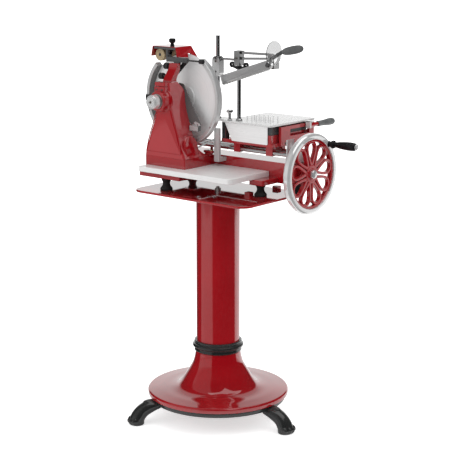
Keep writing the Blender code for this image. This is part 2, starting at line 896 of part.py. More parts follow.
# Base frame, tray and tower


TOWER_HEIGHT_SHARES = (0.0, 0.065, 0.143, 0.357, 0.552, 0.708, 0.864, 1.0)
TOWER_LEFT_SHARES = (1.0, 0.966, 0.885, 0.655, 0.425, 0.379, 0.33, 0.28)
TOWER_RIGHT_SHARES = (1.0, 0.915, 0.809, 0.617, 0.430, 0.325, 0.29, 0.245)
TOWER_BACK_SHARES = (1.0, 0.4, 0.0, 0.0, 0.0, 0.0, 0.0, -0.825)


def tower_half_widths(height):
    """How far the tower reaches to the left and right of the blade's axis at a height."""
    share = max(0.0, min(1.0, (height - BASE_TOP - GAP) / (TOWER_TOP - BASE_TOP - GAP)))
    after = next(i for i in range(1, len(TOWER_HEIGHT_SHARES)) if share <= TOWER_HEIGHT_SHARES[i])
    start = TOWER_HEIGHT_SHARES[after - 1]
    part = (share - start) / (TOWER_HEIGHT_SHARES[after] - start)
    widths = []
    for foot, shares in ((TOWER_FOOT_LEFT, TOWER_LEFT_SHARES), (TOWER_FOOT_RIGHT, TOWER_RIGHT_SHARES)):
        widths.append(foot * (shares[after - 1] + (shares[after] - shares[after - 1]) * part))
    return widths


def tower_rings(inset, low, high):
    """The tower's outline at several heights, drawn in by a wall for the inside."""
    rings = []
    for height_share, back_share in zip(TOWER_HEIGHT_SHARES, TOWER_BACK_SHARES):
        plain = BASE_TOP + GAP + (TOWER_TOP - BASE_TOP - GAP) * height_share
        left, right = tower_half_widths(plain)
        back = TOWER_BACK + (TOWER_FOOT_BACK - TOWER_BACK) * back_share - inset
        front = TOWER_FRONT + inset
        height = max(low, min(high, plain))
        if height_share == 0.0:
            height = low
        elif height_share == 1.0:
            height = high
        x0 = BLADE_X - left + inset
        x1 = BLADE_X + right - inset
        chamfer = TOWER_CORNER
        rings.append(
            [
                Vector((x0 + chamfer, front, height)),
                Vector((x1 - chamfer, front, height)),
                Vector((x1, front + chamfer, height)),
                Vector((x1, back - chamfer, height)),
                Vector((x1 - chamfer, back, height)),
                Vector((x0 + chamfer, back, height)),
                Vector((x0, back - chamfer, height)),
                Vector((x0, front + chamfer, height)),
            ]
        )
    return rings


def make_base(frame, finishes):
    red = finishes["red_enamel"]
    inner_top = BASE_TOP - BASE_WALL
    outline = [
        (BASE_LEFT, BASE_FRONT),
        (FOOT_RIGHT, BASE_FRONT),
        (FOOT_RIGHT, BEAM_FRONT),
        (BASE_RIGHT, BEAM_FRONT),
        (BASE_RIGHT, BASE_BACK),
        (BASE_LEFT, BASE_BACK),
    ]
    inner = [
        (BASE_LEFT + BASE_WALL, BASE_FRONT + BASE_WALL),
        (FOOT_RIGHT - BASE_WALL, BASE_FRONT + BASE_WALL),
        (FOOT_RIGHT - BASE_WALL, BEAM_FRONT + BASE_WALL),
        (BASE_RIGHT - END_WALL, BEAM_FRONT + BASE_WALL),
        (BASE_RIGHT - END_WALL, BASE_BACK - BASE_WALL),
        (BASE_LEFT + BASE_WALL, BASE_BACK - BASE_WALL),
    ]
    shell = prism(outline, "Z", BASE_BOTTOM, BASE_TOP)
    hollow = prism(inner, "Z", BASE_BOTTOM - OVERRUN, inner_top)
    tower_opening = box(
        (BASE_LEFT + BASE_WALL + LEDGE, BASE_FRONT + BASE_WALL + SINK, inner_top - SINK),
        (FOOT_RIGHT - BASE_WALL - LEDGE, TOWER_FOOT_BACK - LEDGE, BASE_TOP + OVERRUN),
    )
    open_shell = shaped("base_casting", red, frame, shell, cuts=[hollow, tower_opening])

    lip_front = BASE_FRONT - LIP_DEPTH
    lip = box(
        (BASE_LEFT + SINK, lip_front, BASE_BOTTOM),
        (FOOT_RIGHT - SINK, BASE_FRONT + BASE_WALL / 2, BASE_BOTTOM + LIP_T),
    )
    lug = box(
        (LUG_RIGHT - LUG_LENGTH, LUG_FRONT, BASE_BOTTOM),
        (LUG_RIGHT, BEAM_FRONT + BASE_WALL / 2, BASE_BOTTOM + LIP_T),
    )
    inside_back = BASE_BACK - BASE_WALL / 2
    pads = []
    for low_x in (BASE_LEFT + BASE_WALL / 2, BASE_RIGHT - END_WALL / 2 - PAD_LENGTH):
        low = (low_x, inside_back - PAD_LENGTH, BASE_BOTTOM)
        pads.append(box(low, (low_x + PAD_LENGTH, inside_back, BASE_BOTTOM + BASE_WALL)))
    rib_bottom = AXLE_Z - BEARING_R - BASE_WALL
    left_rib = box(
        (FOOT_RIGHT - BASE_WALL - RIB_T, BEAM_FRONT + BASE_WALL / 2, rib_bottom),
        (FOOT_RIGHT - BASE_WALL, BASE_BACK - BASE_WALL / 2, inner_top + SINK),
    )
    cross_ribs = []
    for y in cross_rib_places():
        low = (BASE_LEFT + BASE_WALL / 2, y, rib_bottom)
        top = inner_top - SINK if y < TOWER_FOOT_BACK else inner_top + SINK
        high = (FOOT_RIGHT - BASE_WALL / 2, y + RIB_T, top)
        cross_ribs.append(box(low, high))
    idler = cylinder(
        IDLER_STUB_R, BASE_TOP - SINK, CARRIAGE_CHAIN_Z + CHAIN_WIDTH, (IDLER_X, AXLE_Y, 0), "Z", SMALL_SIDES
    )
    dial_at = (DIAL_X, DIAL_Y, 0)
    dial_boss = cylinder(DIAL_BOSS_R, BASE_TOP - SINK, BASE_TOP + DIAL_BOSS_T, dial_at, "Z", MEDIUM_SIDES)
    for index, solid in enumerate([lip, lug, *pads, left_rib, *cross_ribs, idler, dial_boss]):
        add_boolean(open_shell, solid, "UNION", f"part_{index}", red, frame)
    seat_r = BEARING_R + GAP
    rib_left = FOOT_RIGHT - BASE_WALL - RIB_T
    wheel_bore = cylinder(seat_r, rib_left - OVERRUN, BASE_RIGHT + OVERRUN, AXLE, "X", MEDIUM_SIDES)
    cross_r = running(CROSS_SHAFT_R)
    first, last = cross_rib_places()
    lower = (BLADE_X, 0, AXLE_Z)
    cross_bore = cylinder(cross_r, first - OVERRUN, last + RIB_T + OVERRUN, lower, "Y", SMALL_SIDES)
    spindle_r = running(SPINDLE_R)
    spindle_bore = cylinder(
        spindle_r, inner_top - OVERRUN, BASE_TOP + OVERRUN, (SPINDLE_X, AXLE_Y, 0), "Z", SMALL_SIDES
    )
    for index, solid in enumerate([wheel_bore, cross_bore, spindle_bore]):
        add_boolean(open_shell, solid, "DIFFERENCE", f"bore_{index}", red, frame)

    make_rubber_feet(frame, finishes["rubber"])
    make_tray(frame, finishes["stainless"])
    make_tower(frame, red)


def cross_rib_places():
    """Where the two ribs that carry the cross shaft start, along Y."""
    return BLADE_CHAIN_Y + CHAIN_WIDTH + BEARING_WIDTH, BEAM_FRONT - RIB_T * 2


def add_boolean(target, solid, operation, label, finish, holder):
    """One more solid joined to a piece, or cut from it, after those before."""
    guide = piece(f"{target.name}_{label}", solid, finish, holder, guide=True)
    modifier = target.modifiers.new(label, "BOOLEAN")
    modifier.operation = operation
    modifier.solver = "EXACT"
    modifier.object = guide


RUBBER_SHARES = ((1.0, 0.0), (1.0, 0.16), (0.66, 0.42), (0.60, 0.70), (0.78, 0.90), (0.78, 1.0))


def make_rubber_feet(frame, rubber):
    lip_y = BASE_FRONT - LIP_DEPTH / 2
    pad = PAD_LENGTH / 2
    back_y = BASE_BACK - BASE_WALL / 2 - pad
    places = {
        "rubber_foot_front_left": (BLADE_X + PAD_LENGTH / 2, lip_y),
        "rubber_foot_front_right": (LUG_RIGHT - LUG_LENGTH / 2, LUG_FRONT + LUG_LENGTH / 2),
        "rubber_foot_back_left": (BASE_LEFT + BASE_WALL / 2 + pad, back_y),
        "rubber_foot_back_right": (BASE_RIGHT - END_WALL / 2 - pad, back_y),
    }
    profile = [(RUBBER_R * r, PLATE_TOP + GAP + RUBBER_HEIGHT * z) for r, z in RUBBER_SHARES]
    for name, (x, y) in places.items():
        piece(name, turned(profile, (x, y, 0), "Z", SMALL_SIDES), rubber, frame)


def make_tray(frame, stainless):
    bottom = BASE_BOTTOM + LIP_T + GAP
    top = bottom + TRAY_DEPTH
    back = BEAM_FRONT - GAP
    notch_x = FOOT_RIGHT + GAP
    notch_y = BASE_FRONT - GAP
    corner_at = (TRAY_RIGHT - TRAY_CORNER_R, TRAY_FRONT + TRAY_CORNER_R)
    corner = arc(TRAY_CORNER_R, -math.pi / 2, 0, CORNER_STEPS, *corner_at)
    outline = [
        (TRAY_LEFT, TRAY_FRONT),
        *corner,
        (TRAY_RIGHT, back),
        (notch_x, back),
        (notch_x, notch_y),
        (TRAY_LEFT, notch_y),
    ]
    lip = TRAY_LIP_T
    inner_corner = arc(TRAY_CORNER_R - lip, -math.pi / 2, 0, CORNER_STEPS, *corner_at)
    inner = [
        (TRAY_LEFT + lip, TRAY_FRONT + lip),
        *inner_corner,
        (TRAY_RIGHT - lip, back - lip),
        (notch_x + lip, back - lip),
        (notch_x + lip, notch_y - lip),
        (TRAY_LEFT + lip, notch_y - lip),
    ]
    shaped(
        "slice_tray",
        stainless,
        frame,
        prism(outline, "Z", bottom, top),
        cuts=[prism(inner, "Z", bottom - OVERRUN, top - TRAY_SHEET)],
    )


def make_tower(frame, red):
    outer = loft(tower_rings(0.0, BASE_TOP + GAP, TOWER_TOP))
    inside = loft(tower_rings(TOWER_WALL, BASE_TOP - OVERRUN, TOWER_TOP - TOWER_WALL * 2))
    front_end = TOWER_FRONT - HUB_LENGTH
    hub_front = cylinder(HUB_R, front_end, TOWER_FRONT + TOWER_WALL + SINK, BLADE, "Y", MEDIUM_SIDES)
    back_start = TOWER_BACK - HUB_BACK_LENGTH - TOWER_WALL
    hub_back = cylinder(HUB_BACK_R, back_start, TOWER_BACK - SINK, BLADE, "Y", MEDIUM_SIDES)
    left, _ = tower_half_widths(TOWER_TOP)
    block_left = BLADE_X - left - SINK
    block = box(
        (block_left, TOWER_FRONT - LUG_BLOCK_DEPTH, TOWER_TOP + SINK - LUG_BLOCK_HEIGHT),
        (block_left + LUG_BLOCK_WIDTH, TOWER_FRONT + TOWER_WALL / 2, TOWER_TOP + SINK),
    )
    tower = shaped("tower_casting", red, frame, outer, cuts=[inside])
    for index, solid in enumerate([hub_front, hub_back, block]):
        add_boolean(tower, solid, "UNION", f"part_{index}", red, frame)
    bore = cylinder(BEARING_R + GAP, front_end - OVERRUN, TOWER_BACK + OVERRUN, BLADE, "Y", MEDIUM_SIDES)
    add_boolean(tower, bore, "DIFFERENCE", "bore", red, frame)


# Blade, its shaft, guard and deflector


def make_blade(frame, finishes):
    steel = finishes["steel"]
    chrome = finishes["chrome"]
    spin = carrier("blade_axis", (BLADE_X, CUT_Y, BLADE_Z), frame)
    bore = BLADE_SHAFT_R + GAP
    edge_back = CUT_Y
    edge_front = CUT_Y - BLADE_T
    hub_front = edge_front - DISH_DEPTH + BLADE_T
    profile = [
        (BLADE_R - BLADE_T, edge_back),
        (BLADE_R, edge_back - GAP),
        (BLADE_R - BLADE_T * 3, edge_front),
        (BLADE_R * BLADE_RIDGE_SHARE, edge_front - GAP * 3),
        (BLADE_HUB_R, hub_front + BLADE_T),
        (BLADE_HUB_R - BLADE_T, hub_front),
        (bore, hub_front),
        (bore, edge_back),
    ]
    piece("blade", turned(profile, BLADE, "Y", LARGE_SIDES, ring=True), chrome, spin)

    front_end = TOWER_FRONT - HUB_LENGTH
    knob_back = front_end - GAP * 3
    flange_front = TOWER_BACK + LIP_T
    shaft = turned(
        [
            (0, knob_back + GAP),
            (BLADE_SHAFT_R, knob_back + GAP),
            (BLADE_SHAFT_R, flange_front),
            (SHAFT_FLANGE_R, flange_front),
            (SHAFT_FLANGE_R, hub_front - GAP),
            (BLADE_SHAFT_R, hub_front - GAP),
            (BLADE_SHAFT_R, CUT_Y + GAP),
            (RETAINER_R, CUT_Y + GAP),
            (RETAINER_R, CUT_Y + GAP + RETAINER_T),
            (0, CUT_Y + GAP + RETAINER_T),
        ],
        BLADE,
        "Y",
        SMALL_SIDES,
    )
    star = toothed(chain_radius(BLADE_TEETH) - TOOTH_GAP, BLADE_TEETH, BLADE_X, BLADE_Z)
    sprocket = prism(star, "Y", BLADE_CHAIN_Y - CHAIN_HALF_WIDTH, BLADE_CHAIN_Y + CHAIN_HALF_WIDTH)
    shaped("blade_shaft", steel, spin, shaft, joined=[sprocket])

    knob = turned(
        [
            (0, knob_back),
            (AXLE_KNOB_R / 2, knob_back),
            (AXLE_KNOB_R * KNOB_NECK_SHARE, knob_back - AXLE_KNOB_LENGTH * KNOB_STEP_SHARE),
            (AXLE_KNOB_R, knob_back - AXLE_KNOB_LENGTH * KNOB_STEP_SHARE * 2),
            (AXLE_KNOB_R, knob_back - AXLE_KNOB_LENGTH * KNOB_FACE_SHARE),
            (AXLE_KNOB_R * KNOB_CAP_SHARE, knob_back - AXLE_KNOB_LENGTH),
            (0, knob_back - AXLE_KNOB_LENGTH),
        ],
        BLADE,
        "Y",
        SMALL_SIDES,
    )
    piece("axle_knob", knob, chrome, spin)


BLADE_RIDGE_SHARE = 0.68
KNOB_NECK_SHARE = 0.8
KNOB_STEP_SHARE = 0.12
KNOB_FACE_SHARE = 0.8
KNOB_CAP_SHARE = 0.68


def make_guard(frame, finishes):
    chrome = finishes["chrome"]
    start = RING_OPEN_END
    sweep = math.tau - (RING_OPEN_END - RING_OPEN_START)
    section = ((RING_INNER_R, RING_FRONT), (RING_R, RING_FRONT), (RING_R, RING_BACK), (RING_INNER_R, RING_BACK))
    rings = []
    for step in range(RING_STEPS + 1):
        angle = start + sweep * step / RING_STEPS
        out = Vector((math.cos(angle), 0, math.sin(angle)))
        ring = []
        for radius, y in section:
            ring.append(BLADE + out * radius + Vector((0, y, 0)))
        rings.append(ring)
    brackets = []
    half = POST_DEPTH / 2
    reach = (RING_R + RING_INNER_R) / 2
    for angle in RING_BRACKET_ANGLES:
        middle = BLADE + Vector((math.cos(angle), 0, math.sin(angle))) * reach
        low = (middle.x - half, TOWER_BACK + GAP, middle.z - half / 2)
        brackets.append(box(low, (middle.x + half, RING_FRONT + OVERRUN, middle.z + half / 2)))
    shaped("guard_ring", chrome, frame, loft(rings), joined=brackets)

    _, right = tower_half_widths(deflector_foot())
    outline = [(BLADE_X + BLADE_R * u, BLADE_Z + BLADE_R * v) for u, v in DEFLECTOR_SHARES]
    back = RING_FRONT - OVERRUN / 4 - DEFLECTOR_T - GAP
    front = TOWER_BACK + GAP
    plate = prism(outline, "Y", front, min(back, front + DEFLECTOR_T))
    bracket = box(
        (BLADE_X + right + GAP, front - DEFLECTOR_BRACKET_T, deflector_foot()),
        (
            BLADE_X + BLADE_R * DEFLECTOR_SHARES[3][0],
            front + DEFLECTOR_T / 2,
            deflector_foot() + DEFLECTOR_BRACKET_HEIGHT,
        ),
    )
    clear = cylinder(running(BLADE_SHAFT_R + SINK), front - OVERRUN, front + OVERRUN, BLADE, "Y", SMALL_SIDES)
    shaped("slice_deflector", finishes["dark_steel"], frame, plate, joined=[bracket], cuts=[clear])


DEFLECTOR_SHARES = (
    (0.013, 0.36),
    (0.147, 0.34),
    (0.40, -0.10),
    (0.66, -0.56),
    (0.50, -0.64),
    (0.18, -0.39),
    (0.013, 0.13),
)


def deflector_foot():
    """The height of the bracket under the deflector's lower end."""
    return BLADE_Z + BLADE_R * DEFLECTOR_SHARES[4][1] - DEFLECTOR_BRACKET_HEIGHT / 2


# Drive inside the base and the tower


def make_drive(frame, wheel, finishes):
    steel = finishes["steel"]
    inner_top = BASE_TOP - BASE_WALL
    apex_blade = Vector((BLADE_X, AXLE_Y, AXLE_Z))
    apex_chain = Vector((SPINDLE_X, AXLE_Y, AXLE_Z))
    cap_start = WHEEL_X + WEB_T / 2 + OVERRUN + GAP

    shaft = turned(
        [
            (0, BLADE_X + BLADE_BEVEL_NEAR),
            (WHEEL_SHAFT_R, BLADE_X + BLADE_BEVEL_NEAR),
            (WHEEL_SHAFT_R, cap_start),
            (CAP_R, cap_start),
            (CAP_R, cap_start + CAP_HEIGHT / 2),
            (CAP_R / 2, cap_start + CAP_HEIGHT),
            (0, cap_start + CAP_HEIGHT),
        ],
        AXLE,
        "X",
        SMALL_SIDES,
    )
    gears = []
    for apex, far, near in (
        (apex_blade, BLADE_BEVEL_R, BLADE_BEVEL_NEAR),
        (apex_chain, CHAIN_BEVEL_R, CHAIN_BEVEL_NEAR),
    ):
        gears.append(bevel_gear(apex, "X", far, near + SINK / 2, 1, False))
        high = apex.x + far + BEVEL_HUB_LENGTH
        gears.append(cylinder(BEVEL_HUB_R, apex.x + far - SINK, high, apex, "X", SMALL_SIDES))
    shaped("wheel_shaft", steel, wheel, shaft, joined=gears)

    cross = carrier("cross_axis", apex_blade, frame)
    chain_front = BLADE_CHAIN_Y - CHAIN_HALF_WIDTH
    shaft_end = AXLE_Y - BLADE_BEVEL_NEAR - SINK
    shaft = cylinder(CROSS_SHAFT_R, chain_front - SINK, shaft_end, (BLADE_X, 0, AXLE_Z), "Y", SMALL_SIDES)
    gear = bevel_gear(apex_blade, "Y", BLADE_BEVEL_R, BLADE_BEVEL_NEAR, -1, True)
    lower = (BLADE_X, AXLE_Z)
    star = toothed(chain_radius(DRIVE_TEETH) - TOOTH_GAP, DRIVE_TEETH, *lower)
    sprocket = prism(star, "Y", chain_front, chain_front + CHAIN_WIDTH)
    shaped("cross_shaft", steel, cross, shaft, joined=[gear, sprocket])

    lower_r = chain_radius(DRIVE_TEETH)
    upper_r = chain_radius(BLADE_TEETH)
    upper = (BLADE_X, BLADE_Z)
    outside = around_two(lower, lower_r + CHAIN_T, upper, upper_r + CHAIN_T, SMALL_SIDES)
    inside = around_two(lower, lower_r, upper, upper_r, SMALL_SIDES)
    piece("blade_chain", pierced(outside, [inside], "Y", chain_front, chain_front + CHAIN_WIDTH), steel, frame)

    turn = carrier("spindle_axis", (SPINDLE_X, AXLE_Y, CARRIAGE_CHAIN_Z), frame)
    spindle = cylinder(
        SPINDLE_R,
        AXLE_Z + CHAIN_BEVEL_NEAR + SINK / 2,
        CARRIAGE_CHAIN_Z + CHAIN_WIDTH,
        (SPINDLE_X, AXLE_Y, 0),
        "Z",
        SMALL_SIDES,
    )
    gear = bevel_gear(apex_chain, "Z", CHAIN_BEVEL_R, CHAIN_BEVEL_NEAR, 1, True)
    low = CARRIAGE_CHAIN_Z - CHAIN_HALF_WIDTH
    high = CARRIAGE_CHAIN_Z + CHAIN_HALF_WIDTH
    right = (SPINDLE_X, AXLE_Y)
    left = (IDLER_X, AXLE_Y)
    reach = chain_radius(CARRIAGE_TEETH)
    star = toothed(reach - TOOTH_GAP, CARRIAGE_TEETH, *right)
    shaped("chain_spindle", steel, turn, spindle, joined=[gear, prism(star, "Z", low, high)])
    idle = carrier("idler_axis", (IDLER_X, AXLE_Y, CARRIAGE_CHAIN_Z), frame)
    star = toothed(reach - TOOTH_GAP, CARRIAGE_TEETH, *left)
    bore = circle(running(IDLER_STUB_R), SMALL_SIDES, *left)
    piece("idler_sprocket", pierced(star, [bore], "Z", low, high), steel, idle)
    outside = around_two(left, reach + CHAIN_T / 2, right, reach + CHAIN_T / 2, TINY_SIDES)
    inside = around_two(left, reach, right, reach, TINY_SIDES)
    run_y = AXLE_Y - reach - CHAIN_T / 4
    pin_at = (RAIL_LEFT_X + BUSH_LENGTH * 2, run_y, 0)
    pin = cylinder(CHAIN_T / 4, high - SINK, high + DRIVE_PIN_LENGTH, pin_at, "Z", TINY_SIDES)
    shaped("carriage_chain", steel, frame, pierced(outside, [inside], "Z", low, high), joined=[pin])

    rib_x = FOOT_RIGHT - BASE_WALL - RIB_T
    front_end = TOWER_FRONT - HUB_LENGTH
    for name, centre, axis, low, shaft_r in (
        ("wheel_bearing_left", AXLE, "X", rib_x, WHEEL_SHAFT_R),
        ("wheel_bearing_right", AXLE, "X", BASE_RIGHT - BEARING_WIDTH, WHEEL_SHAFT_R),
        ("blade_bearing_front", BLADE, "Y", front_end, BLADE_SHAFT_R),
        ("blade_bearing_back", BLADE, "Y", TOWER_BACK - BEARING_WIDTH - SINK, BLADE_SHAFT_R),
    ):
        ring = tube(BEARING_R, running(shaft_r), low, low + BEARING_WIDTH, centre, axis, SMALL_SIDES)
        piece(name, ring, steel, frame)


# Flywheel and crank


def petal_half_angle(radius, half_width, inner, outer):
    """Half the angle that a petal-shaped loop covers at a radius."""
    share = max(0.0, min(1.0, (radius - inner) / (outer - inner)))
    width = half_width * PETAL_FULLNESS_SHARE * share**PETAL_POINT_SHARE * math.sqrt(max(0.0, 1.0 - share**5))
    return width / radius


PETAL_FULLNESS_SHARE = 1.48
PETAL_POINT_SHARE = 0.9
PETAL_STEP_SHARES = (0.0, 0.22, 0.45, 0.65, 0.82, 0.94, 1.0)


def web_holes():
    """The openings inside the nine loops, and those between them."""
    holes = []
    inner = PETAL_INNER_R
    outer = WEB_RING_INNER_R - PETAL_BAND / 2
    band_inner = WEB_HUB_R / 2
    band_outer = WEB_RING_INNER_R + PETAL_BAND / 2
    step = math.tau / PETAL_COUNT
    full = PETAL_HALF_WIDTH + PETAL_BAND
    gap_start = (inner + outer) / 2
    while gap_start < WEB_RING_INNER_R - PETAL_BAND:
        free = step / 2 - petal_half_angle(gap_start, full, band_inner, band_outer)
        if free * gap_start > SINK * 2:
            break
        gap_start += SINK
    for index in range(PETAL_COUNT):
        middle = step * index + step / 4
        loop = []
        for share in PETAL_STEP_SHARES:
            radius = inner + (outer - inner) * share
            loop.append((radius, middle + petal_half_angle(radius, PETAL_HALF_WIDTH, inner, outer)))
        for share in reversed(PETAL_STEP_SHARES[1:-1]):
            radius = inner + (outer - inner) * share
            loop.append((radius, middle - petal_half_angle(radius, PETAL_HALF_WIDTH, inner, outer)))
        holes.append(loop)
        between = middle + step / 2
        radii = [gap_start + (WEB_RING_INNER_R - gap_start) * share for share in GAP_STEP_SHARES]
        spread = [step / 2 - petal_half_angle(r, full, band_inner, band_outer) for r in radii]
        gap = [(radii[0], between)]
        gap += [(r, between - s) for r, s in zip(radii[1:], spread[1:])]
        gap += [(WEB_RING_INNER_R, between)]
        gap += [(r, between + s) for r, s in reversed(list(zip(radii[1:], spread[1:])))]
        holes.append(gap)
    return [[(AXLE_Y + r * math.cos(a), AXLE_Z + r * math.sin(a)) for r, a in loop] for loop in holes]


GAP_STEP_SHARES = (0.0, 0.35, 0.7, 1.0)


def make_flywheel(frame, finishes):
    spin = carrier("flywheel_axis", (WHEEL_X, AXLE_Y, AXLE_Z), frame)
    chrome = finishes["chrome"]
    centre = (AXLE_Y, AXLE_Z)
    half = WEB_T / 2
    rim_half = RIM_WIDTH / 2
    round_off = RIM_WIDTH / 4
    bore = RIM_INNER_R - SINK
    rim = [
        (bore, WHEEL_X - rim_half),
        (WHEEL_R - round_off, WHEEL_X - rim_half),
        (WHEEL_R - round_off * RIM_CURVE_SHARE, WHEEL_X - rim_half + round_off * RIM_CURVE_SHARE),
        (WHEEL_R, WHEEL_X - rim_half + round_off),
        (WHEEL_R, WHEEL_X + rim_half - round_off),
        (WHEEL_R - round_off * RIM_CURVE_SHARE, WHEEL_X + rim_half - round_off * RIM_CURVE_SHARE),
        (WHEEL_R - round_off, WHEEL_X + rim_half),
        (bore, WHEEL_X + rim_half),
    ]
    rim = turned(rim, AXLE, "X", LARGE_SIDES, ring=True)

    web_outline = circle(RIM_INNER_R, LARGE_SIDES, *centre)
    web = pierced(web_outline, web_holes(), "X", WHEEL_X - half, WHEEL_X + half)
    barrel_low = WHEEL_X - BARREL_BACK
    barrel_high = WHEEL_X + half + OVERRUN
    barrel = cylinder(BARREL_R, barrel_low, barrel_high, AXLE, "X", MEDIUM_SIDES)
    bore = cylinder(WHEEL_SHAFT_R + GAP, barrel_low - OVERRUN, barrel_high + OVERRUN, AXLE, "X", SMALL_SIDES)
    shaped("flywheel", finishes["red_enamel"], spin, web, joined=[rim, barrel], cuts=[bore])

    crank_y = AXLE_Y + CRANK_R * math.cos(CRANK_ANGLE)
    crank_z = AXLE_Z + CRANK_R * math.sin(CRANK_ANGLE)
    start = WHEEL_X + rim_half + GAP
    grip_start = start + CRANK_FLANGE_T + GAP
    grip_end = grip_start + GRIP_LENGTH
    pin = turned(
        [
            (0, start),
            (CRANK_FLANGE_R, start),
            (CRANK_FLANGE_R, start + CRANK_FLANGE_T),
            (CRANK_PIN_R, start + CRANK_FLANGE_T),
            (CRANK_PIN_R, grip_end + GAP),
            (CRANK_FLANGE_R, grip_end + GAP),
            (CRANK_FLANGE_R, grip_end + GRIP_CAP_T / 2),
            (CRANK_FLANGE_R / 2, grip_end + GRIP_CAP_T),
            (0, grip_end + GRIP_CAP_T),
        ],
        (0, crank_y, crank_z),
        "X",
        SMALL_SIDES,
    )
    piece("crank_pin", pin, chrome, spin)
    turn = carrier("crank_grip_axis", (grip_start, crank_y, crank_z), spin)
    profile = [(GRIP_R * r, grip_start + GRIP_LENGTH * x) for x, r in GRIP_SHARES]
    profile += [(running(CRANK_PIN_R), grip_end), (running(CRANK_PIN_R), grip_start)]
    grip = turned(profile, (0, crank_y, crank_z), "X", SMALL_SIDES, ring=True)
    piece("crank_grip", grip, finishes["black_grip"], turn)
    return spin


RIM_CURVE_SHARE = 0.3
GRIP_SHARES = (
    (0.0, 0.60),
    (0.04, 0.90),
    (0.12, 0.90),
    (0.16, 0.62),
    (0.35, 0.80),
    (0.70, 1.00),
    (0.94, 0.92),
    (1.0, 0.66),
)


# Guide rods, stop, guard post and dial on the base


def make_beam_pieces(frame, finishes):
    chrome = finishes["chrome"]
    for name, y in (("guide_rod_front", ROD_FRONT_Y), ("guide_rod_back", ROD_BACK_Y)):
        low = SUPPORT_LEFT + GAP
        high = SUPPORT_RIGHT + SUPPORT_T - GAP
        piece(name, cylinder(ROD_R, low, high, (0, y, ROD_Z), "X", SMALL_SIDES), chrome, frame)

    front = ROD_FRONT_Y - BUSH_HALF_WIDTH - SINK * 2
    back = ROD_BACK_Y + BUSH_HALF_WIDTH + SINK * 2
    plate_x = SUPPORT_RIGHT + SUPPORT_T - STOP_PLATE_T
    low = (plate_x, STOP_PLATE_FRONT, BASE_TOP + OVERRUN)
    stop_plate = box(low, (plate_x + STOP_PLATE_T - SINK, front + SINK * 2, STOP_PLATE_TOP))
    supports = (("rod_support_left", SUPPORT_LEFT, []), ("rod_support_right", SUPPORT_RIGHT, [stop_plate]))
    for name, low_x, extras in supports:
        block = box((low_x, front, BASE_TOP + GAP), (low_x + SUPPORT_T, back, SUPPORT_TOP))
        bores = []
        for y in (ROD_FRONT_Y, ROD_BACK_Y):
            high = low_x + SUPPORT_T + OVERRUN
            bores.append(cylinder(ROD_R + GAP, low_x - OVERRUN, high, (0, y, ROD_Z), "X", SMALL_SIDES))
        shaped(name, chrome, frame, block, joined=extras, cuts=bores)

    foot_top = BASE_TOP - POST_FOOT_DROP
    half = POST_WIDTH / 2
    profile = [
        (BEAM_FRONT - GAP, foot_top - POST_FOOT_T),
        (BEAM_FRONT - GAP, foot_top),
        (POST_FRONT + POST_DEPTH, foot_top),
        (POST_FRONT + POST_DEPTH, POST_TOP),
        (POST_FRONT, POST_TOP),
        (POST_FRONT, foot_top - POST_FOOT_T),
    ]
    post = prism(profile, "X", POST_X - half, POST_X + half)
    stay_start = (POST_X - half / 2, POST_FRONT + POST_DEPTH / 2, ROD_Z + ROD_R + LIP_DEPTH)
    _, right = tower_half_widths(ROD_Z + ROD_R)
    stay_end = (BLADE_X + right + STAY_R + SINK, TOWER_BACK + OVERRUN, ROD_Z + STAY_R)
    stay = rod(stay_start, stay_end, STAY_R, TINY_SIDES)
    shaped("guard_post", chrome, frame, post, joined=[stay])

    turn = carrier("dial_axis", (DIAL_X, DIAL_Y, BASE_TOP), frame)
    reach = DIAL_LENGTH / 2 - DIAL_WIDTH / 2
    left = (DIAL_X - reach, DIAL_Y)
    right_end = (DIAL_X + reach, DIAL_Y)
    outline = around_two(left, DIAL_WIDTH / 2, right_end, DIAL_WIDTH / 2, BEND_STEPS)
    low = BASE_TOP + DIAL_BOSS_T + GAP
    piece("thickness_lever", prism(outline, "Z", low, low + DIAL_T), finishes["red_enamel"], turn)


# Carriage and meat table


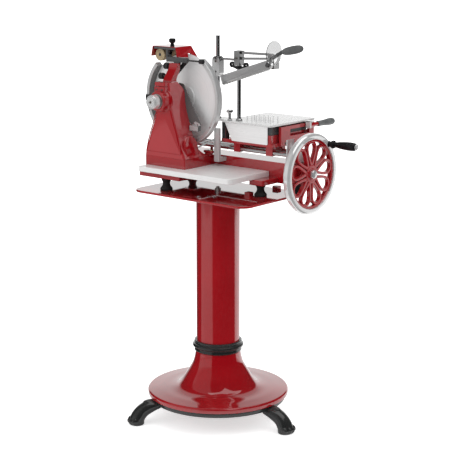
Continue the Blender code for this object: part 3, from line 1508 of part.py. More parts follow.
def make_carriage(frame, finishes):
    red = finishes["red_enamel"]
    stainless = finishes["stainless"]
    slide = carrier("carriage_axis", (SADDLE_LEFT, AXLE_Y, ROD_Z), frame)
    saddle_top = SADDLE_BOTTOM + SADDLE_T
    body = box((SADDLE_LEFT, SADDLE_FRONT, SADDLE_BOTTOM), (SADDLE_RIGHT, SADDLE_BACK, saddle_top))
    joined = []
    cuts = []
    for x in (BUSH_LEFT_X, BUSH_RIGHT_X):
        for y in (ROD_FRONT_Y, ROD_BACK_Y):
            low = (x, y - BUSH_HALF_WIDTH, ROD_Z - BUSH_HALF_WIDTH - SINK)
            joined.append(box(low, (x + BUSH_LENGTH, y + BUSH_HALF_WIDTH, SADDLE_BOTTOM + SINK)))
    for y in (ROD_FRONT_Y, ROD_BACK_Y):
        low = BUSH_LEFT_X - OVERRUN
        high = BUSH_RIGHT_X + BUSH_LENGTH + OVERRUN
        cuts.append(cylinder(ROD_R + GAP, low, high, (0, y, ROD_Z), "X", SMALL_SIDES))
    wall_half = SCREW_WALL_WIDTH / 2
    for y in (SADDLE_FRONT + SINK * 2, SADDLE_BACK - SCREW_WALL_T - SINK * 2):
        low = (SCREW_X - wall_half, y, saddle_top - SINK)
        joined.append(box(low, (SCREW_X + wall_half, y + SCREW_WALL_T, SCREW_WALL_TOP)))
    screw_at = (SCREW_X, 0, SCREW_Z)
    bore_end = SADDLE_BACK + OVERRUN
    cuts.append(cylinder(running(SCREW_R), SADDLE_FRONT - OVERRUN, bore_end, screw_at, "Y", SMALL_SIDES))
    for x in (RAIL_LEFT_X, RAIL_RIGHT_X):
        low = (x, SADDLE_FRONT + SINK * 2, saddle_top - SINK)
        joined.append(box(low, (x + RAIL_WIDTH, SADDLE_BACK - SINK * 3, RAIL_TOP)))
    window = [
        (WINDOW_FRONT, WINDOW_BOTTOM),
        (WINDOW_BACK, WINDOW_BOTTOM),
        (WINDOW_BACK, WINDOW_TOP),
        (WINDOW_FRONT, WINDOW_TOP),
    ]
    frame_outline = [
        (SIDE_FRONT, SADDLE_BOTTOM + SINK),
        (SIDE_BACK, SADDLE_BOTTOM + SINK),
        (SIDE_BACK, SIDE_TOP),
        (SIDE_FRONT, SIDE_TOP),
    ]
    side_x = SADDLE_RIGHT - SINK
    joined.append(pierced(frame_outline, [window], "X", side_x, side_x + SIDE_T))
    bumper_top = TABLE_BOTTOM - GAP * 2
    low = (SADDLE_LEFT + SINK, SADDLE_FRONT + SINK, saddle_top - SINK)
    joined.append(box(low, (low[0] + BUMPER_WIDTH, low[1] + BUMPER_DEPTH, bumper_top)))
    shaped("carriage_saddle", red, slide, body, joined=joined, cuts=cuts)

    top = TABLE_BOTTOM - GAP * 2
    outline = [
        (PANEL_BOTTOM_LEFT, PANEL_BOTTOM),
        (PANEL_RIGHT, PANEL_BOTTOM),
        (PANEL_RIGHT, top),
        (PANEL_TOP_LEFT, top),
    ]
    panel_back = SADDLE_FRONT - GAP
    piece("front_panel", prism(outline, "Y", panel_back - PANEL_T, panel_back), stainless, slide)

    turn = carrier("feed_screw_axis", (SCREW_X, SADDLE_FRONT, SCREW_Z), slide)
    wheel_start = SADDLE_BACK + SINK
    screw = turned(
        [
            (0, SADDLE_FRONT + SINK),
            (SCREW_R, SADDLE_FRONT + SINK),
            (SCREW_R, wheel_start),
            (RATCHET_R, wheel_start),
            (RATCHET_R, wheel_start + RATCHET_T),
            (0, wheel_start + RATCHET_T),
        ],
        (SCREW_X, 0, SCREW_Z),
        "Y",
        SMALL_SIDES,
    )
    piece("feed_screw", screw, finishes["steel"], turn)
    return make_table(slide, finishes)


def make_table(slide, finishes):
    stainless = finishes["stainless"]
    chrome = finishes["chrome"]
    feed = carrier("table_axis", (SCREW_X, TABLE_FRONT, TABLE_BOTTOM), slide)
    outline = [
        (TABLE_LEFT, TABLE_FRONT),
        (TABLE_RIGHT, TABLE_FRONT),
        (TABLE_RIGHT, TABLE_BACK),
        (TABLE_LEFT, TABLE_BACK),
        (TABLE_LEFT, TONGUE_BACK),
        (TONGUE_LEFT, TONGUE_BACK),
        (TONGUE_LEFT, TONGUE_FRONT),
        (TABLE_LEFT, TONGUE_FRONT),
    ]
    joined = []
    for x in (RAIL_LEFT_X, RAIL_RIGHT_X):
        low = (x, SADDLE_FRONT + SINK * 2, RAIL_TOP + GAP)
        joined.append(box(low, (x + RAIL_WIDTH, SADDLE_BACK - SCREW_WALL_T, TABLE_BOTTOM + SINK)))
    low = (SCREW_X - FEED_NUT_HALF, FEED_NUT_START, SCREW_Z - FEED_NUT_HALF)
    joined.append(box(low, (SCREW_X + FEED_NUT_HALF, FEED_NUT_START + FEED_NUT_LENGTH, TABLE_BOTTOM + SINK)))
    ear_x = SADDLE_RIGHT + SIDE_T + SINK * 2
    joined.append(box((ear_x, EAR_FRONT, EAR_BOTTOM), (ear_x + EAR_WIDTH, EAR_FRONT + EAR_T, TABLE_TOP - SINK)))
    tab_low = (TABLE_RIGHT - SINK * 2, EAR_FRONT, TABLE_BOTTOM + SINK / 2)
    joined.append(box(tab_low, (ear_x + EAR_WIDTH - SINK / 2, EAR_FRONT + EAR_T * 3, TABLE_TOP - SINK * 2)))
    spikes = bmesh.new()
    for row in range(SPIKE_ROWS):
        for index in range(SPIKE_COUNT):
            x = SPIKE_X + SPIKE_PITCH * index + SPIKE_PITCH / 2 * (row % 2)
            y = SPIKE_Y + SPIKE_ROW_PITCH * row
            profile = [(SPIKE_R, TABLE_TOP - SINK), (SPIKE_R, TABLE_TOP + SINK), (0, TABLE_TOP + SPIKE_HEIGHT)]
            turned(profile, (x, y, 0), "Z", SPIKE_SIDES, bm=spikes)
    joined.append(spikes)
    bore = cylinder(
        running(SCREW_R),
        FEED_NUT_START - OVERRUN,
        FEED_NUT_START + FEED_NUT_LENGTH + OVERRUN,
        (SCREW_X, 0, SCREW_Z),
        "Y",
        SMALL_SIDES,
    )
    plate = prism(outline, "Z", TABLE_BOTTOM, TABLE_TOP)
    shaped("meat_table", stainless, feed, plate, joined=joined, cuts=[bore])

    turn = carrier("table_knob_axis", (KNOB_X, KNOB_Y, TABLE_TOP), feed)
    profile = [(KNOB_R * r, TABLE_TOP + GAP + KNOB_HEIGHT * z) for z, r in MUSHROOM_SHARES]
    piece("table_knob", turned(profile, (KNOB_X, KNOB_Y, 0), "Z", SMALL_SIDES), chrome, turn)

    handle_x = ear_x + HANDLE_BOSS_R
    handle_start = EAR_FRONT + EAR_T + GAP
    turn = carrier("table_handle_axis", (handle_x, handle_start, HANDLE_Z), feed)
    profile = [(HANDLE_BOSS_R * r, handle_start + HANDLE_BOSS_LENGTH * y) for y, r in HANDLE_BOSS_SHARES]
    grip_start = handle_start + HANDLE_BOSS_LENGTH
    profile += [(HANDLE_GRIP_R * r, grip_start + HANDLE_GRIP_LENGTH * y) for y, r in HANDLE_GRIP_SHARES]
    bm = bmesh.new()
    turned(profile, (handle_x, 0, HANDLE_Z), "Y", SMALL_SIDES, bm=bm)
    piece("table_handle", bm, finishes["black_grip"], turn)
    return feed


MUSHROOM_SHARES = ((0.0, 0.78), (0.08, 0.78), (0.14, 0.45), (0.66, 0.5), (0.74, 1.0), (0.9, 1.0), (1.0, 0.72))
HANDLE_BOSS_SHARES = ((0.0, 1.0), (0.55, 1.0), (0.62, 0.75), (0.95, 0.75))
HANDLE_GRIP_SHARES = ((0.0, 0.75), (0.03, 0.80), (0.4, 0.80), (0.78, 1.0), (0.95, 0.86), (1.0, 0.5))


# Meat press


def make_press(feed, finishes):
    chrome = finishes["chrome"]
    black = finishes["black_grip"]
    for name, x, top in (
        ("press_post_tall", TALL_POST_X, TALL_POST_TOP),
        ("press_post_short", SHORT_POST_X, SHORT_POST_TOP),
    ):
        base = TABLE_TOP + GAP
        profile = [
            (0, base),
            (POST_FLARE_R, base),
            (PRESS_POST_R, base + POST_FLARE_HEIGHT),
            (PRESS_POST_R, top),
            (0, top),
        ]
        piece(name, turned(profile, (x, PRESS_POST_Y, 0), "Z", SMALL_SIDES), chrome, feed)

    rise = carrier("press_axis", (SHORT_POST_X, PRESS_POST_Y, BLOCK_BOTTOM), feed)
    y0 = PRESS_POST_Y - BLOCK_HALF_Y
    y1 = PRESS_POST_Y + BLOCK_HALF_Y
    low = (SHORT_POST_X - BLOCK_HALF_X, y0, BLOCK_BOTTOM)
    block = box(low, (SHORT_POST_X + BLOCK_HALF_X, y1, BLOCK_TOP))
    clamp_outline = rounded(
        (TALL_POST_X - CLAMP_HALF_X, CLAMP_BOTTOM), (TALL_POST_X + CLAMP_HALF_X, CLAMP_TOP), CLAMP_HALF_X - SINK
    )
    clamp = prism(clamp_outline, "Y", PRESS_POST_Y - CLAMP_HALF_Y, PRESS_POST_Y + CLAMP_HALF_Y)
    link = cylinder(
        LINK_R, TALL_POST_X + CLAMP_HALF_X - SINK, SHORT_POST_X, (0, PRESS_POST_Y, LINK_Z), "X", TINY_SIDES
    )
    arms = []
    for index in range(2):
        start_z = ARM_START_Z + ARM_PITCH_START * index
        end_z = ARM_END_Z + ARM_PITCH_END * index
        rings = []
        for x, height in ((SHORT_POST_X + BLOCK_HALF_X / 2, start_z), (PIVOT_X, end_z)):
            ring = []
            for v, w in ((-1, -1), (1, -1), (1, 1), (-1, 1)):
                ring.append(Vector((x, PRESS_POST_Y + v * ARM_HALF_Y, height + w * ARM_HALF_Z)))
            rings.append(ring)
        arms.append(loft(rings))
    low = (PIVOT_X - END_HALF_X, END_FRONT, END_BOTTOM)
    end = box(low, (PIVOT_X + END_HALF_X, PRESS_POST_Y + ARM_HALF_Y + SINK, END_TOP))
    cuts = []
    for x in (TALL_POST_X, SHORT_POST_X):
        place = (x, PRESS_POST_Y, 0)
        bore_bottom = CLAMP_BOTTOM - OVERRUN
        cuts.append(cylinder(PRESS_POST_R + GAP, bore_bottom, BLOCK_TOP + OVERRUN, place, "Z", SMALL_SIDES))
    pin_end = PRESS_POST_Y - ARM_HALF_Y
    cuts.append(cylinder(running(PIVOT_R), END_FRONT - OVERRUN, pin_end + SINK, PIVOT, "Y", SMALL_SIDES))
    shaped("press_slider", chrome, rise, block, joined=[clamp, link, *arms, end], cuts=cuts)

    turn = carrier("wing_axis", (SHORT_POST_X, PRESS_POST_Y, WING_Z), rise)
    post = (SHORT_POST_X, PRESS_POST_Y)
    solids = []
    wing_top = WING_Z + WING_T
    hub = cylinder(WING_HUB_R, WING_Z, wing_top, (*post, 0), "Z", SMALL_SIDES)
    cuts = [cylinder(running(PRESS_POST_R), WING_Z - OVERRUN, wing_top + OVERRUN, (*post, 0), "Z", SMALL_SIDES)]
    y0 = post[1] - WING_BAR_HALF
    y1 = post[1] + WING_BAR_HALF
    for side in (-1, 1):
        x = post[0] + side * WING_SPAN
        arm = [
            (post[0] + side * WING_HUB_R / 2, WING_Z + SINK),
            (x, WING_LOBE_Z - WING_LOBE_R * WING_ROOT_SHARE),
            (x, WING_LOBE_Z - WING_LOBE_R * WING_NECK_SHARE),
            (post[0] + side * WING_HUB_R / 2, WING_Z + WING_T - SINK),
        ]
        solids.append(prism(arm, "Y", y0 + SINK / 2, y1 - SINK / 2))
        solids.append(cylinder(WING_LOBE_R, y0, y1, (x, 0, WING_LOBE_Z), "Y", SMALL_SIDES))
        cuts.append(cylinder(WING_HOLE_R, y0 - OVERRUN, y1 + OVERRUN, (x, 0, WING_LOBE_Z), "Y", TINY_SIDES))
    shaped("wing_nut", black, turn, hub, joined=solids, cuts=cuts)

    make_press_bar(rise, finishes)


def slanted(points, angle):
    """Points drawn along a bar, turned about the press pivot in the X-Z plane."""
    turned_points = []
    for along, across in points:
        x = PIVOT_X + along * math.cos(angle) - across * math.sin(angle)
        z = PIVOT_Z + along * math.sin(angle) + across * math.cos(angle)
        turned_points.append((x, z))
    return turned_points


def bar_outline(length):
    """A flat bar from its round end past the start to a length."""
    return [(-LEVER_HALF, -LEVER_HALF), (length, -LEVER_HALF), (length, LEVER_HALF), (-LEVER_HALF, LEVER_HALF)]


def make_press_bar(rise, finishes):
    chrome = finishes["chrome"]
    tilt = carrier("press_tilt_axis", (PIVOT_X, BAR_FRONT, PIVOT_Z), rise)
    top = BAR_HEIGHT / 2
    comb = [(0, top), (-BAR_LENGTH, top)]
    pitch = BAR_LENGTH / BAR_TEETH
    for index in range(BAR_TEETH):
        comb.append((-BAR_LENGTH + pitch * index, -top + BAR_TOOTH))
        comb.append((-BAR_LENGTH + pitch * (index + 1 / 2), -top))
    comb.append((0, -top + BAR_TOOTH))
    bar = prism(slanted(comb, BAR_TILT), "Y", BAR_FRONT, BAR_FRONT + BAR_T)
    hub = cylinder(BAR_HUB_R, BAR_FRONT - GAP / 2, BAR_FRONT + BAR_T + SINK, PIVOT, "Y", SMALL_SIDES)
    pin_end = PRESS_POST_Y - ARM_HALF_Y
    pin = cylinder(PIVOT_R, BAR_FRONT + BAR_T / 2, pin_end, PIVOT, "Y", SMALL_SIDES)
    shaped("press_bar", chrome, tilt, bar, joined=[hub, pin])

    lever_back = BAR_FRONT - GAP * 2
    lever_front = lever_back - LEVER_T
    elbow = slanted([(LEVER_LENGTH, 0)], LEVER_RISE)[0]
    root = slanted(bar_outline(LEVER_LENGTH), LEVER_RISE)
    reach = [
        (
            elbow[0] + along * math.cos(ARM_RISE) - across * math.sin(ARM_RISE),
            elbow[1] + along * math.sin(ARM_RISE) + across * math.cos(ARM_RISE),
        )
        for along, across in bar_outline(ARM_LENGTH)
    ]
    bm = prism(root, "Y", lever_front, lever_back)
    arm = prism(reach, "Y", lever_front + SINK / 2, lever_back - SINK / 2)
    tip = (
        elbow[0] + (ARM_LENGTH - LEVER_HALF) * math.cos(ARM_RISE),
        elbow[1] + (ARM_LENGTH - LEVER_HALF) * math.sin(ARM_RISE),
    )
    middle_y = (lever_front + lever_back) / 2
    rings = []
    for share, size in PADDLE_SHARES:
        along = PADDLE_LENGTH * share
        x = tip[0] + along * math.cos(PADDLE_RISE)
        z = tip[1] + along * math.sin(PADDLE_RISE)
        ring = []
        for index in range(SMALL_SIDES):
            angle = math.tau * index / SMALL_SIDES
            lift = PADDLE_HALF_HEIGHT * size * math.sin(angle)
            ring.append(
                Vector(
                    (
                        x - lift * math.sin(PADDLE_RISE),
                        middle_y + PADDLE_HALF_T * size * math.cos(angle),
                        z + lift * math.cos(PADDLE_RISE),
                    )
                )
            )
        rings.append(ring)
    shaped("press_handle", finishes["dark_steel"], tilt, bm, joined=[arm, loft(rings)])

    guard_x = PIVOT_X + GUARD_OFFSET
    guard_z = PIVOT_Z + GUARD_LIFT
    slot_z = elbow[1] + (guard_x + GUARD_T / 2 - elbow[0]) * math.tan(ARM_RISE)
    slot_half = (LEVER_HALF + SINK) / math.cos(ARM_RISE) + GUARD_T * math.tan(ARM_RISE)
    slot = [
        (lever_front - GUARD_SLOT_SIDE, slot_z - slot_half),
        (lever_back + GUARD_SLOT_SIDE, slot_z - slot_half),
        (lever_back + GUARD_SLOT_SIDE, slot_z + slot_half),
        (lever_front - GUARD_SLOT_SIDE, slot_z + slot_half),
    ]
    disc = circle(GUARD_R, MEDIUM_SIDES, BAR_FRONT + BAR_T / 2, guard_z)
    guard = pierced(disc, [slot], "X", guard_x, guard_x + GUARD_T)
    piece("hand_guard", guard, finishes["clear"], tilt)


WING_ROOT_SHARE = 0.75
WING_NECK_SHARE = 0.25
PADDLE_SHARES = ((0.0, 0.45), (0.12, 0.72), (0.45, 1.0), (0.78, 0.95), (0.94, 0.6), (1.0, 0.25))


# Sharpener


def make_sharpener(frame, finishes):
    red = finishes["red_enamel"]
    black = finishes["black_grip"]
    half = NECK_WIDTH / 2
    foot_back = TOWER_BACK - TOWER_WALL - NECK_DEPTH
    stations = (
        (TOWER_TOP + GAP, foot_back - NECK_DEPTH, foot_back),
        (TOWER_TOP + NECK_SHOULDER, foot_back - NECK_DEPTH * NECK_TAPER_SHARE, foot_back + SINK),
        (NECK_BEND_Z, NECK_TOP_FRONT, NECK_TOP_BACK),
        (NECK_TOP, NECK_TOP_FRONT, NECK_TOP_BACK),
    )
    rings = []
    for height, front, back in stations:
        x0 = NECK_X - half
        x1 = NECK_X + half
        rings.append([Vector((x, y, height)) for x, y in ((x0, front), (x1, front), (x1, back), (x0, back))])
    piece("sharpener_neck", loft(rings), red, frame)

    lift = carrier("sharpener_axis", (BLADE_X, BODY_FRONT, BODY_BOTTOM), frame)
    top = BODY_BOTTOM + BODY_T
    body = box((BODY_LEFT, BODY_FRONT, BODY_BOTTOM), (BODY_RIGHT, BODY_BACK, top))
    wall_front = BODY_BACK - BODY_WALL_T
    low = (BODY_LEFT, wall_front, BODY_WALL_BOTTOM)
    wall = box(low, (BODY_WALL_RIGHT, BODY_BACK - SINK / 2, BODY_BOTTOM + SINK))
    shoulder_top = SHOULDER_BOTTOM + SHOULDER_HEIGHT
    shoulder_back = BODY_FRONT + SHOULDER_T
    web_left = WEB_X - WEB_WIDTH / 2
    low = (web_left, BODY_FRONT + SINK / 2, SHOULDER_BOTTOM + SINK)
    web = box(low, (WEB_X + WEB_WIDTH / 2, shoulder_back, BODY_BOTTOM + SINK))
    low = (web_left + SINK, BODY_FRONT, SHOULDER_BOTTOM)
    shoulder = box(low, (SHOULDER_RIGHT, shoulder_back - SINK / 2, shoulder_top))
    leg_left = NECK_X - SLIDE_LEG_WIDTH / 2
    slide_leg = box(
        (leg_left, BODY_FRONT + SINK / 4, SLIDE_LEG_BOTTOM),
        (leg_left + SLIDE_LEG_WIDTH, shoulder_back - SINK, shoulder_top - SINK),
    )
    pins = []
    for x, y, z in ((FRONT_STONE_X, FRONT_STONE_Y, FRONT_STONE_Z), (BACK_STONE_X, BACK_STONE_Y, BACK_STONE_Z)):
        pins.append(rod((x, y - SINK, z), (x, wall_front + SINK, z), STONE_PIN_R, SMALL_SIDES))
    shaped("sharpener_body", finishes["dark_steel"], lift, body, joined=[wall, web, shoulder, slide_leg, *pins])

    hood_bottom = top + GAP
    hood_top = hood_bottom + HOOD_T
    rings = []
    ends = (
        (HOOD_FRONT, HOOD_RIGHT_SPREAD, HOOD_RIGHT_DROP),
        (HOOD_BACK, HOOD_BACK_SPREAD, HOOD_BACK_DROP),
    )
    for y, spread, drop in ends:
        left_tip = (HOOD_LEFT - HOOD_LEFT_SPREAD, hood_top - HOOD_LEFT_DROP)
        right_tip = (HOOD_RIGHT + spread, hood_top - drop)
        outline = [
            left_tip,
            (HOOD_LEFT, hood_top),
            (HOOD_RIGHT, hood_top),
            right_tip,
            (right_tip[0] - HOOD_T, right_tip[1]),
            (HOOD_RIGHT - HOOD_T, hood_bottom),
            (HOOD_LEFT + HOOD_T, hood_bottom),
            (left_tip[0] + HOOD_T, left_tip[1]),
        ]
        rings.append([Vector((x, y, z)) for x, z in outline])
    flap_notch = box(
        (HOOD_RIGHT - HOOD_T - SINK, RING_FRONT - SINK, hood_top - HOOD_BACK_DROP - OVERRUN),
        (HOOD_RIGHT + HOOD_BACK_SPREAD, CUT_Y + RETAINER_T, BLADE_Z + RING_R + SINK * 3),
    )
    shaped("sharpener_hood", red, lift, loft(rings), cuts=[flap_notch])

    turn = carrier("hood_knob_axis", (HOOD_KNOB_X, HOOD_KNOB_Y, hood_top), lift)
    profile = [(HOOD_KNOB_R * r, hood_top + GAP + HOOD_KNOB_HEIGHT * z) for z, r in HOOD_KNOB_SHARES]
    piece("hood_knob", turned(profile, (HOOD_KNOB_X, HOOD_KNOB_Y, 0), "Z", SMALL_SIDES), black, turn)

    for name, x, y, z, thickness in (
        ("front_stone", FRONT_STONE_X, FRONT_STONE_Y, FRONT_STONE_Z, FRONT_STONE_T),
        ("back_stone", BACK_STONE_X, BACK_STONE_Y, BACK_STONE_Z, BACK_STONE_T),
    ):
        spin = carrier(f"{name}_axis", (x, y, z), lift)
        bevel = STONE_R * STONE_BEVEL_SHARE
        profile = [
            (running(STONE_PIN_R), y),
            (STONE_R - bevel, y),
            (STONE_R, y + bevel / 2),
            (STONE_R, y + thickness),
            (running(STONE_PIN_R), y + thickness),
        ]
        piece(name, turned(profile, (x, 0, z), "Y", MEDIUM_SIDES, ring=True), finishes["grinding_stone"], spin)

    pivot_z = SHOULDER_BOTTOM + SHOULDER_HEIGHT / 2
    front = shoulder_back + GAP
    turn = carrier("trim_lever_axis", (TRIM_LEVER_X, front, pivot_z), lift)
    tip = (
        TRIM_LEVER_X - TRIM_LEVER_LENGTH * math.sin(TRIM_LEVER_TILT),
        pivot_z - TRIM_LEVER_LENGTH * math.cos(TRIM_LEVER_TILT),
    )
    outline = around_two((TRIM_LEVER_X, pivot_z), TRIM_LEVER_HUB_R, tip, TRIM_LEVER_TIP_R, BEND_STEPS)
    piece("sharpener_lever", prism(outline, "Y", front, front + TRIM_LEVER_T), black, turn)

    neck_left = NECK_X - half
    for name, z in (("upper_neck_knob", UPPER_KNOB_Z), ("lower_neck_knob", LOWER_KNOB_Z)):
        share = (z - TOWER_TOP - NECK_SHOULDER) / (NECK_BEND_Z - TOWER_TOP - NECK_SHOULDER)
        share = max(0.0, min(1.0, share))
        low_middle = foot_back - NECK_DEPTH / 2
        high_middle = (NECK_TOP_FRONT + NECK_TOP_BACK) / 2
        y = low_middle + (high_middle - low_middle) * share
        start = neck_left - GAP
        turn = carrier(f"{name}_axis", (start, y, z), frame)
        profile = [
            (0, start),
            (NECK_STUD_R, start),
            (NECK_STUD_R, start - NECK_STUD_LENGTH),
            (NECK_KNOB_R, start - NECK_STUD_LENGTH),
            (NECK_KNOB_R, start - NECK_STUD_LENGTH - NECK_KNOB_T),
            (0, start - NECK_STUD_LENGTH - NECK_KNOB_T),
        ]
        piece(name, turned(profile, (0, y, z), "X", SMALL_SIDES), black, turn)

    start = SHOULDER_RIGHT + GAP
    adjuster_y = (BODY_FRONT + shoulder_back) / 2
    turn = carrier("adjuster_axis", (start, adjuster_y, pivot_z), lift)
    profile = [
        (0, start),
        (ADJUSTER_STEM_R, start),
        (ADJUSTER_STEM_R, start + ADJUSTER_STEM),
        (ADJUSTER_R, start + ADJUSTER_STEM),
        (ADJUSTER_R, start + ADJUSTER_STEM + ADJUSTER_T),
        (0, start + ADJUSTER_STEM + ADJUSTER_T),
    ]
    piece("adjuster_knob", turned(profile, (0, adjuster_y, pivot_z), "X", SMALL_SIDES), black, turn)


NECK_TAPER_SHARE = 0.85
HOOD_KNOB_SHARES = ((0.0, 0.62), (0.40, 0.5), (0.44, 0.75), (0.6, 1.0), (0.9, 1.0), (1.0, 0.8))
STONE_BEVEL_SHARE = 0.2


def stand_on_origin(frame):
    """Moves the machine so that the bottom centre of its bounding box is the origin."""
    graph = bpy.context.evaluated_depsgraph_get()
    low = Vector((math.inf, math.inf, math.inf))
    high = -low
    for item in bpy.context.scene.objects:
        if item.type != "MESH" or item.hide_render:
            continue
        shape = item.evaluated_get(graph)
        for vertex in shape.data.vertices:
            place = shape.matrix_world @ vertex.co
            low = Vector(map(min, low, place))
            high = Vector(map(max, high, place))
    middle = (low + high) / 2
    frame.location = Vector((-middle.x, -middle.y, -low.z))


def main():
    start_empty()
    finishes = {
        "red_enamel": material("red_enamel", (0.38, 0.008, 0.018), 0.12, 0.0),
        "black_casting": material("black_casting", (0.012, 0.012, 0.013), 0.25, 0.0),
        "black_grip": material("black_grip", (0.018, 0.018, 0.019), 0.35, 0.0),
        "rubber": material("rubber", (0.015, 0.015, 0.015), 0.7, 0.0),
        "steel": material("steel", (0.45, 0.45, 0.45), 0.3, 1.0),
        "dark_steel": material("dark_steel", (0.10, 0.10, 0.10), 0.35, 0.6),
        "chrome": material("chrome", (0.78, 0.78, 0.79), 0.08, 1.0),
        "stainless": material("stainless", (0.66, 0.66, 0.67), 0.2, 1.0),
        "grinding_stone": material("grinding_stone", (0.30, 0.21, 0.13), 0.85, 0.0),
        "clear": material("clear", (0.9, 0.92, 0.93), 0.05, 0.0, alpha=0.3),
    }
    frame = carrier("machine", (0, 0, 0))
    make_pedestal(frame, finishes)
    make_base(frame, finishes)
    make_blade(frame, finishes)
    make_guard(frame, finishes)
    wheel = make_flywheel(frame, finishes)
    make_drive(frame, wheel, finishes)
    make_beam_pieces(frame, finishes)
    feed = make_carriage(frame, finishes)
    make_press(feed, finishes)
    make_sharpener(frame, finishes)
    stand_on_origin(frame)


main()
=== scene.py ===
"""Looks of a hand crank meat slicer on its pedestal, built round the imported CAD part.

While a piece is made its places are the machine's own: the column's axis is the origin, +X runs along
the carriage toward the flywheel, +Y points away from the person who slices, and +Z is up. The finished
piece is then moved by STAND, which puts it where the CAD part stands. Sizes are metres.
"""

import json
import math

import bmesh
import bpy
from mathutils import Matrix, Vector
from mathutils.geometry import interpolate_bezier

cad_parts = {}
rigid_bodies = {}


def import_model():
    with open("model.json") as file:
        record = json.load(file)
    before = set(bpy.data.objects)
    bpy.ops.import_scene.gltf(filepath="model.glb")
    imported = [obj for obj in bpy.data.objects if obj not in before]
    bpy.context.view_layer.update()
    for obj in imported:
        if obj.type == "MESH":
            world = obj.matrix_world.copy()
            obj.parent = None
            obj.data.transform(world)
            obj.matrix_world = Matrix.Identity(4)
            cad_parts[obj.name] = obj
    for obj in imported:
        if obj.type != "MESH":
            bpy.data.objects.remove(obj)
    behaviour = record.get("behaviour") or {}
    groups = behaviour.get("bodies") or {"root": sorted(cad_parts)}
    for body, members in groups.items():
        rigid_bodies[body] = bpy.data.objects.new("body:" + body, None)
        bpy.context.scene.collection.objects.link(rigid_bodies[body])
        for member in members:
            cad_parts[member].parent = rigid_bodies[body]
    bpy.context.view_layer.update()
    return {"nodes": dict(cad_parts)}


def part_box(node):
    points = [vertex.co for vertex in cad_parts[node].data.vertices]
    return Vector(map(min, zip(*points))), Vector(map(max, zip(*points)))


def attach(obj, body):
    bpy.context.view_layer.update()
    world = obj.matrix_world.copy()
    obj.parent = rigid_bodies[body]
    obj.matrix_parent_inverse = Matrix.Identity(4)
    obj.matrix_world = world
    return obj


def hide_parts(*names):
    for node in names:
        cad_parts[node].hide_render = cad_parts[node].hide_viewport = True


for startup in list(bpy.data.objects):
    bpy.data.objects.remove(startup, do_unlink=True)

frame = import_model()

column_low, column_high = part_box("column_tube")
STAND = Vector(((column_low.x + column_high.x) / 2, (column_low.y + column_high.y) / 2, 0.0))

# What counts as one place, in metres, and as a sharp edge, in radians
SAME_PLACE = 0.000002
SHARP_EDGE = 1.2

# Heights of the pedestal and the base
BELL_BOTTOM = 0.084
BELL_TOP = 0.2367
COLLAR_BOTTOM = 0.237
COLLAR_TOP = 0.2763
COLUMN_BOTTOM = 0.2473
COLUMN_TOP = 0.7797
PLATE_TOP = 0.8
BASE_BOTTOM = 0.8386
BASE_TOP = 0.9086

# Guide rods and thickness lever
FRONT_ROD_Y = 0.094
BACK_ROD_Y = 0.148
ROD_Z = 0.936
LEVER_Y = 0.056

# Blade head
BLADE_X = -0.172
BLADE_Z = 1.103
RING_MIDDLE = 0.158
CUT_Y = 0.0375
TOWER_FRONT = -0.085

# Flywheel
WHEEL_X = 0.3
AXLE_Y = 0.121
AXLE_Z = 0.876
CRANK_REACH = 0.127
CRANK_ANGLE = math.radians(46)
CRANK_Y = AXLE_Y + CRANK_REACH * math.cos(CRANK_ANGLE)
CRANK_Z = AXLE_Z + CRANK_REACH * math.sin(CRANK_ANGLE)
SPOKES = 9

# Carriage, table and press
TABLE_TOP = 1.035
POST_FOOT = 1.0353
PRESS_POST_Y = 0.08
TALL_POST_X = -0.0664
SHORT_POST_X = 0.027
PIVOT_X = 0.18
PIVOT_Z = 1.236
BAR_TILT = math.radians(18)

# Sharpener
STRAP_X = -0.13
STRAP_Z = 1.2365

# Camera
CAMERA_PLACE = (3.0753, -3.7502, 1.7395)
CAMERA_AIM = (-0.6248, 0.7508, -0.2142)
CAMERA_YAW = math.atan2(CAMERA_PLACE[1], CAMERA_PLACE[0])


# Node helpers


def feed(tree, sockets, values):
    """Gives sockets their values: each is a number, a colour, or another node's output."""
    for key, value in values.items():
        if isinstance(value, bpy.types.NodeSocket):
            tree.links.new(value, sockets[key])
        else:
            sockets[key].default_value = value


def node(tree, kind, inputs=None, **settings):
    made = tree.nodes.new(kind)
    for name, value in settings.items():
        setattr(made, name, value)
    feed(tree, made.inputs, inputs or {})
    return made


def maths(tree, operation, *values, clamp=False):
    made = node(tree, "ShaderNodeMath", dict(enumerate(values)), operation=operation, use_clamp=clamp)
    return made.outputs[0]


def vectors(tree, operation, *values):
    """Maths with vectors. A length or a dot product comes out as a number."""
    made = node(tree, "ShaderNodeVectorMath", dict(enumerate(values)), operation=operation)
    return made.outputs["Value" if operation in ("LENGTH", "DOT_PRODUCT") else "Vector"]


def blended(tree, share, one, two):
    """A mix of two colours by a share."""
    made = node(tree, "ShaderNodeMix", {0: share}, data_type="RGBA")
    for index, value in ((6, one), (7, two)):
        given = isinstance(value, bpy.types.NodeSocket)
        feed(tree, made.inputs, {index: value if given else (*value[:3], 1.0)})
    return made.outputs[2]


def ranged(tree, value, low, high, to_low=0.0, to_high=1.0):
    limits = {"Value": value, "From Min": low, "From Max": high, "To Min": to_low, "To Max": to_high}
    return node(tree, "ShaderNodeMapRange", limits).outputs["Result"]


def place_in(tree):
    """Object coordinates, in metres."""
    return node(tree, "ShaderNodeTexCoord").outputs["Object"]


def noise(tree, place, scale, detail, roughness):
    pattern = {"Vector": place, "Scale": scale, "Detail": detail, "Roughness": roughness}
    return node(tree, "ShaderNodeTexNoise", pattern).outputs["Fac"]


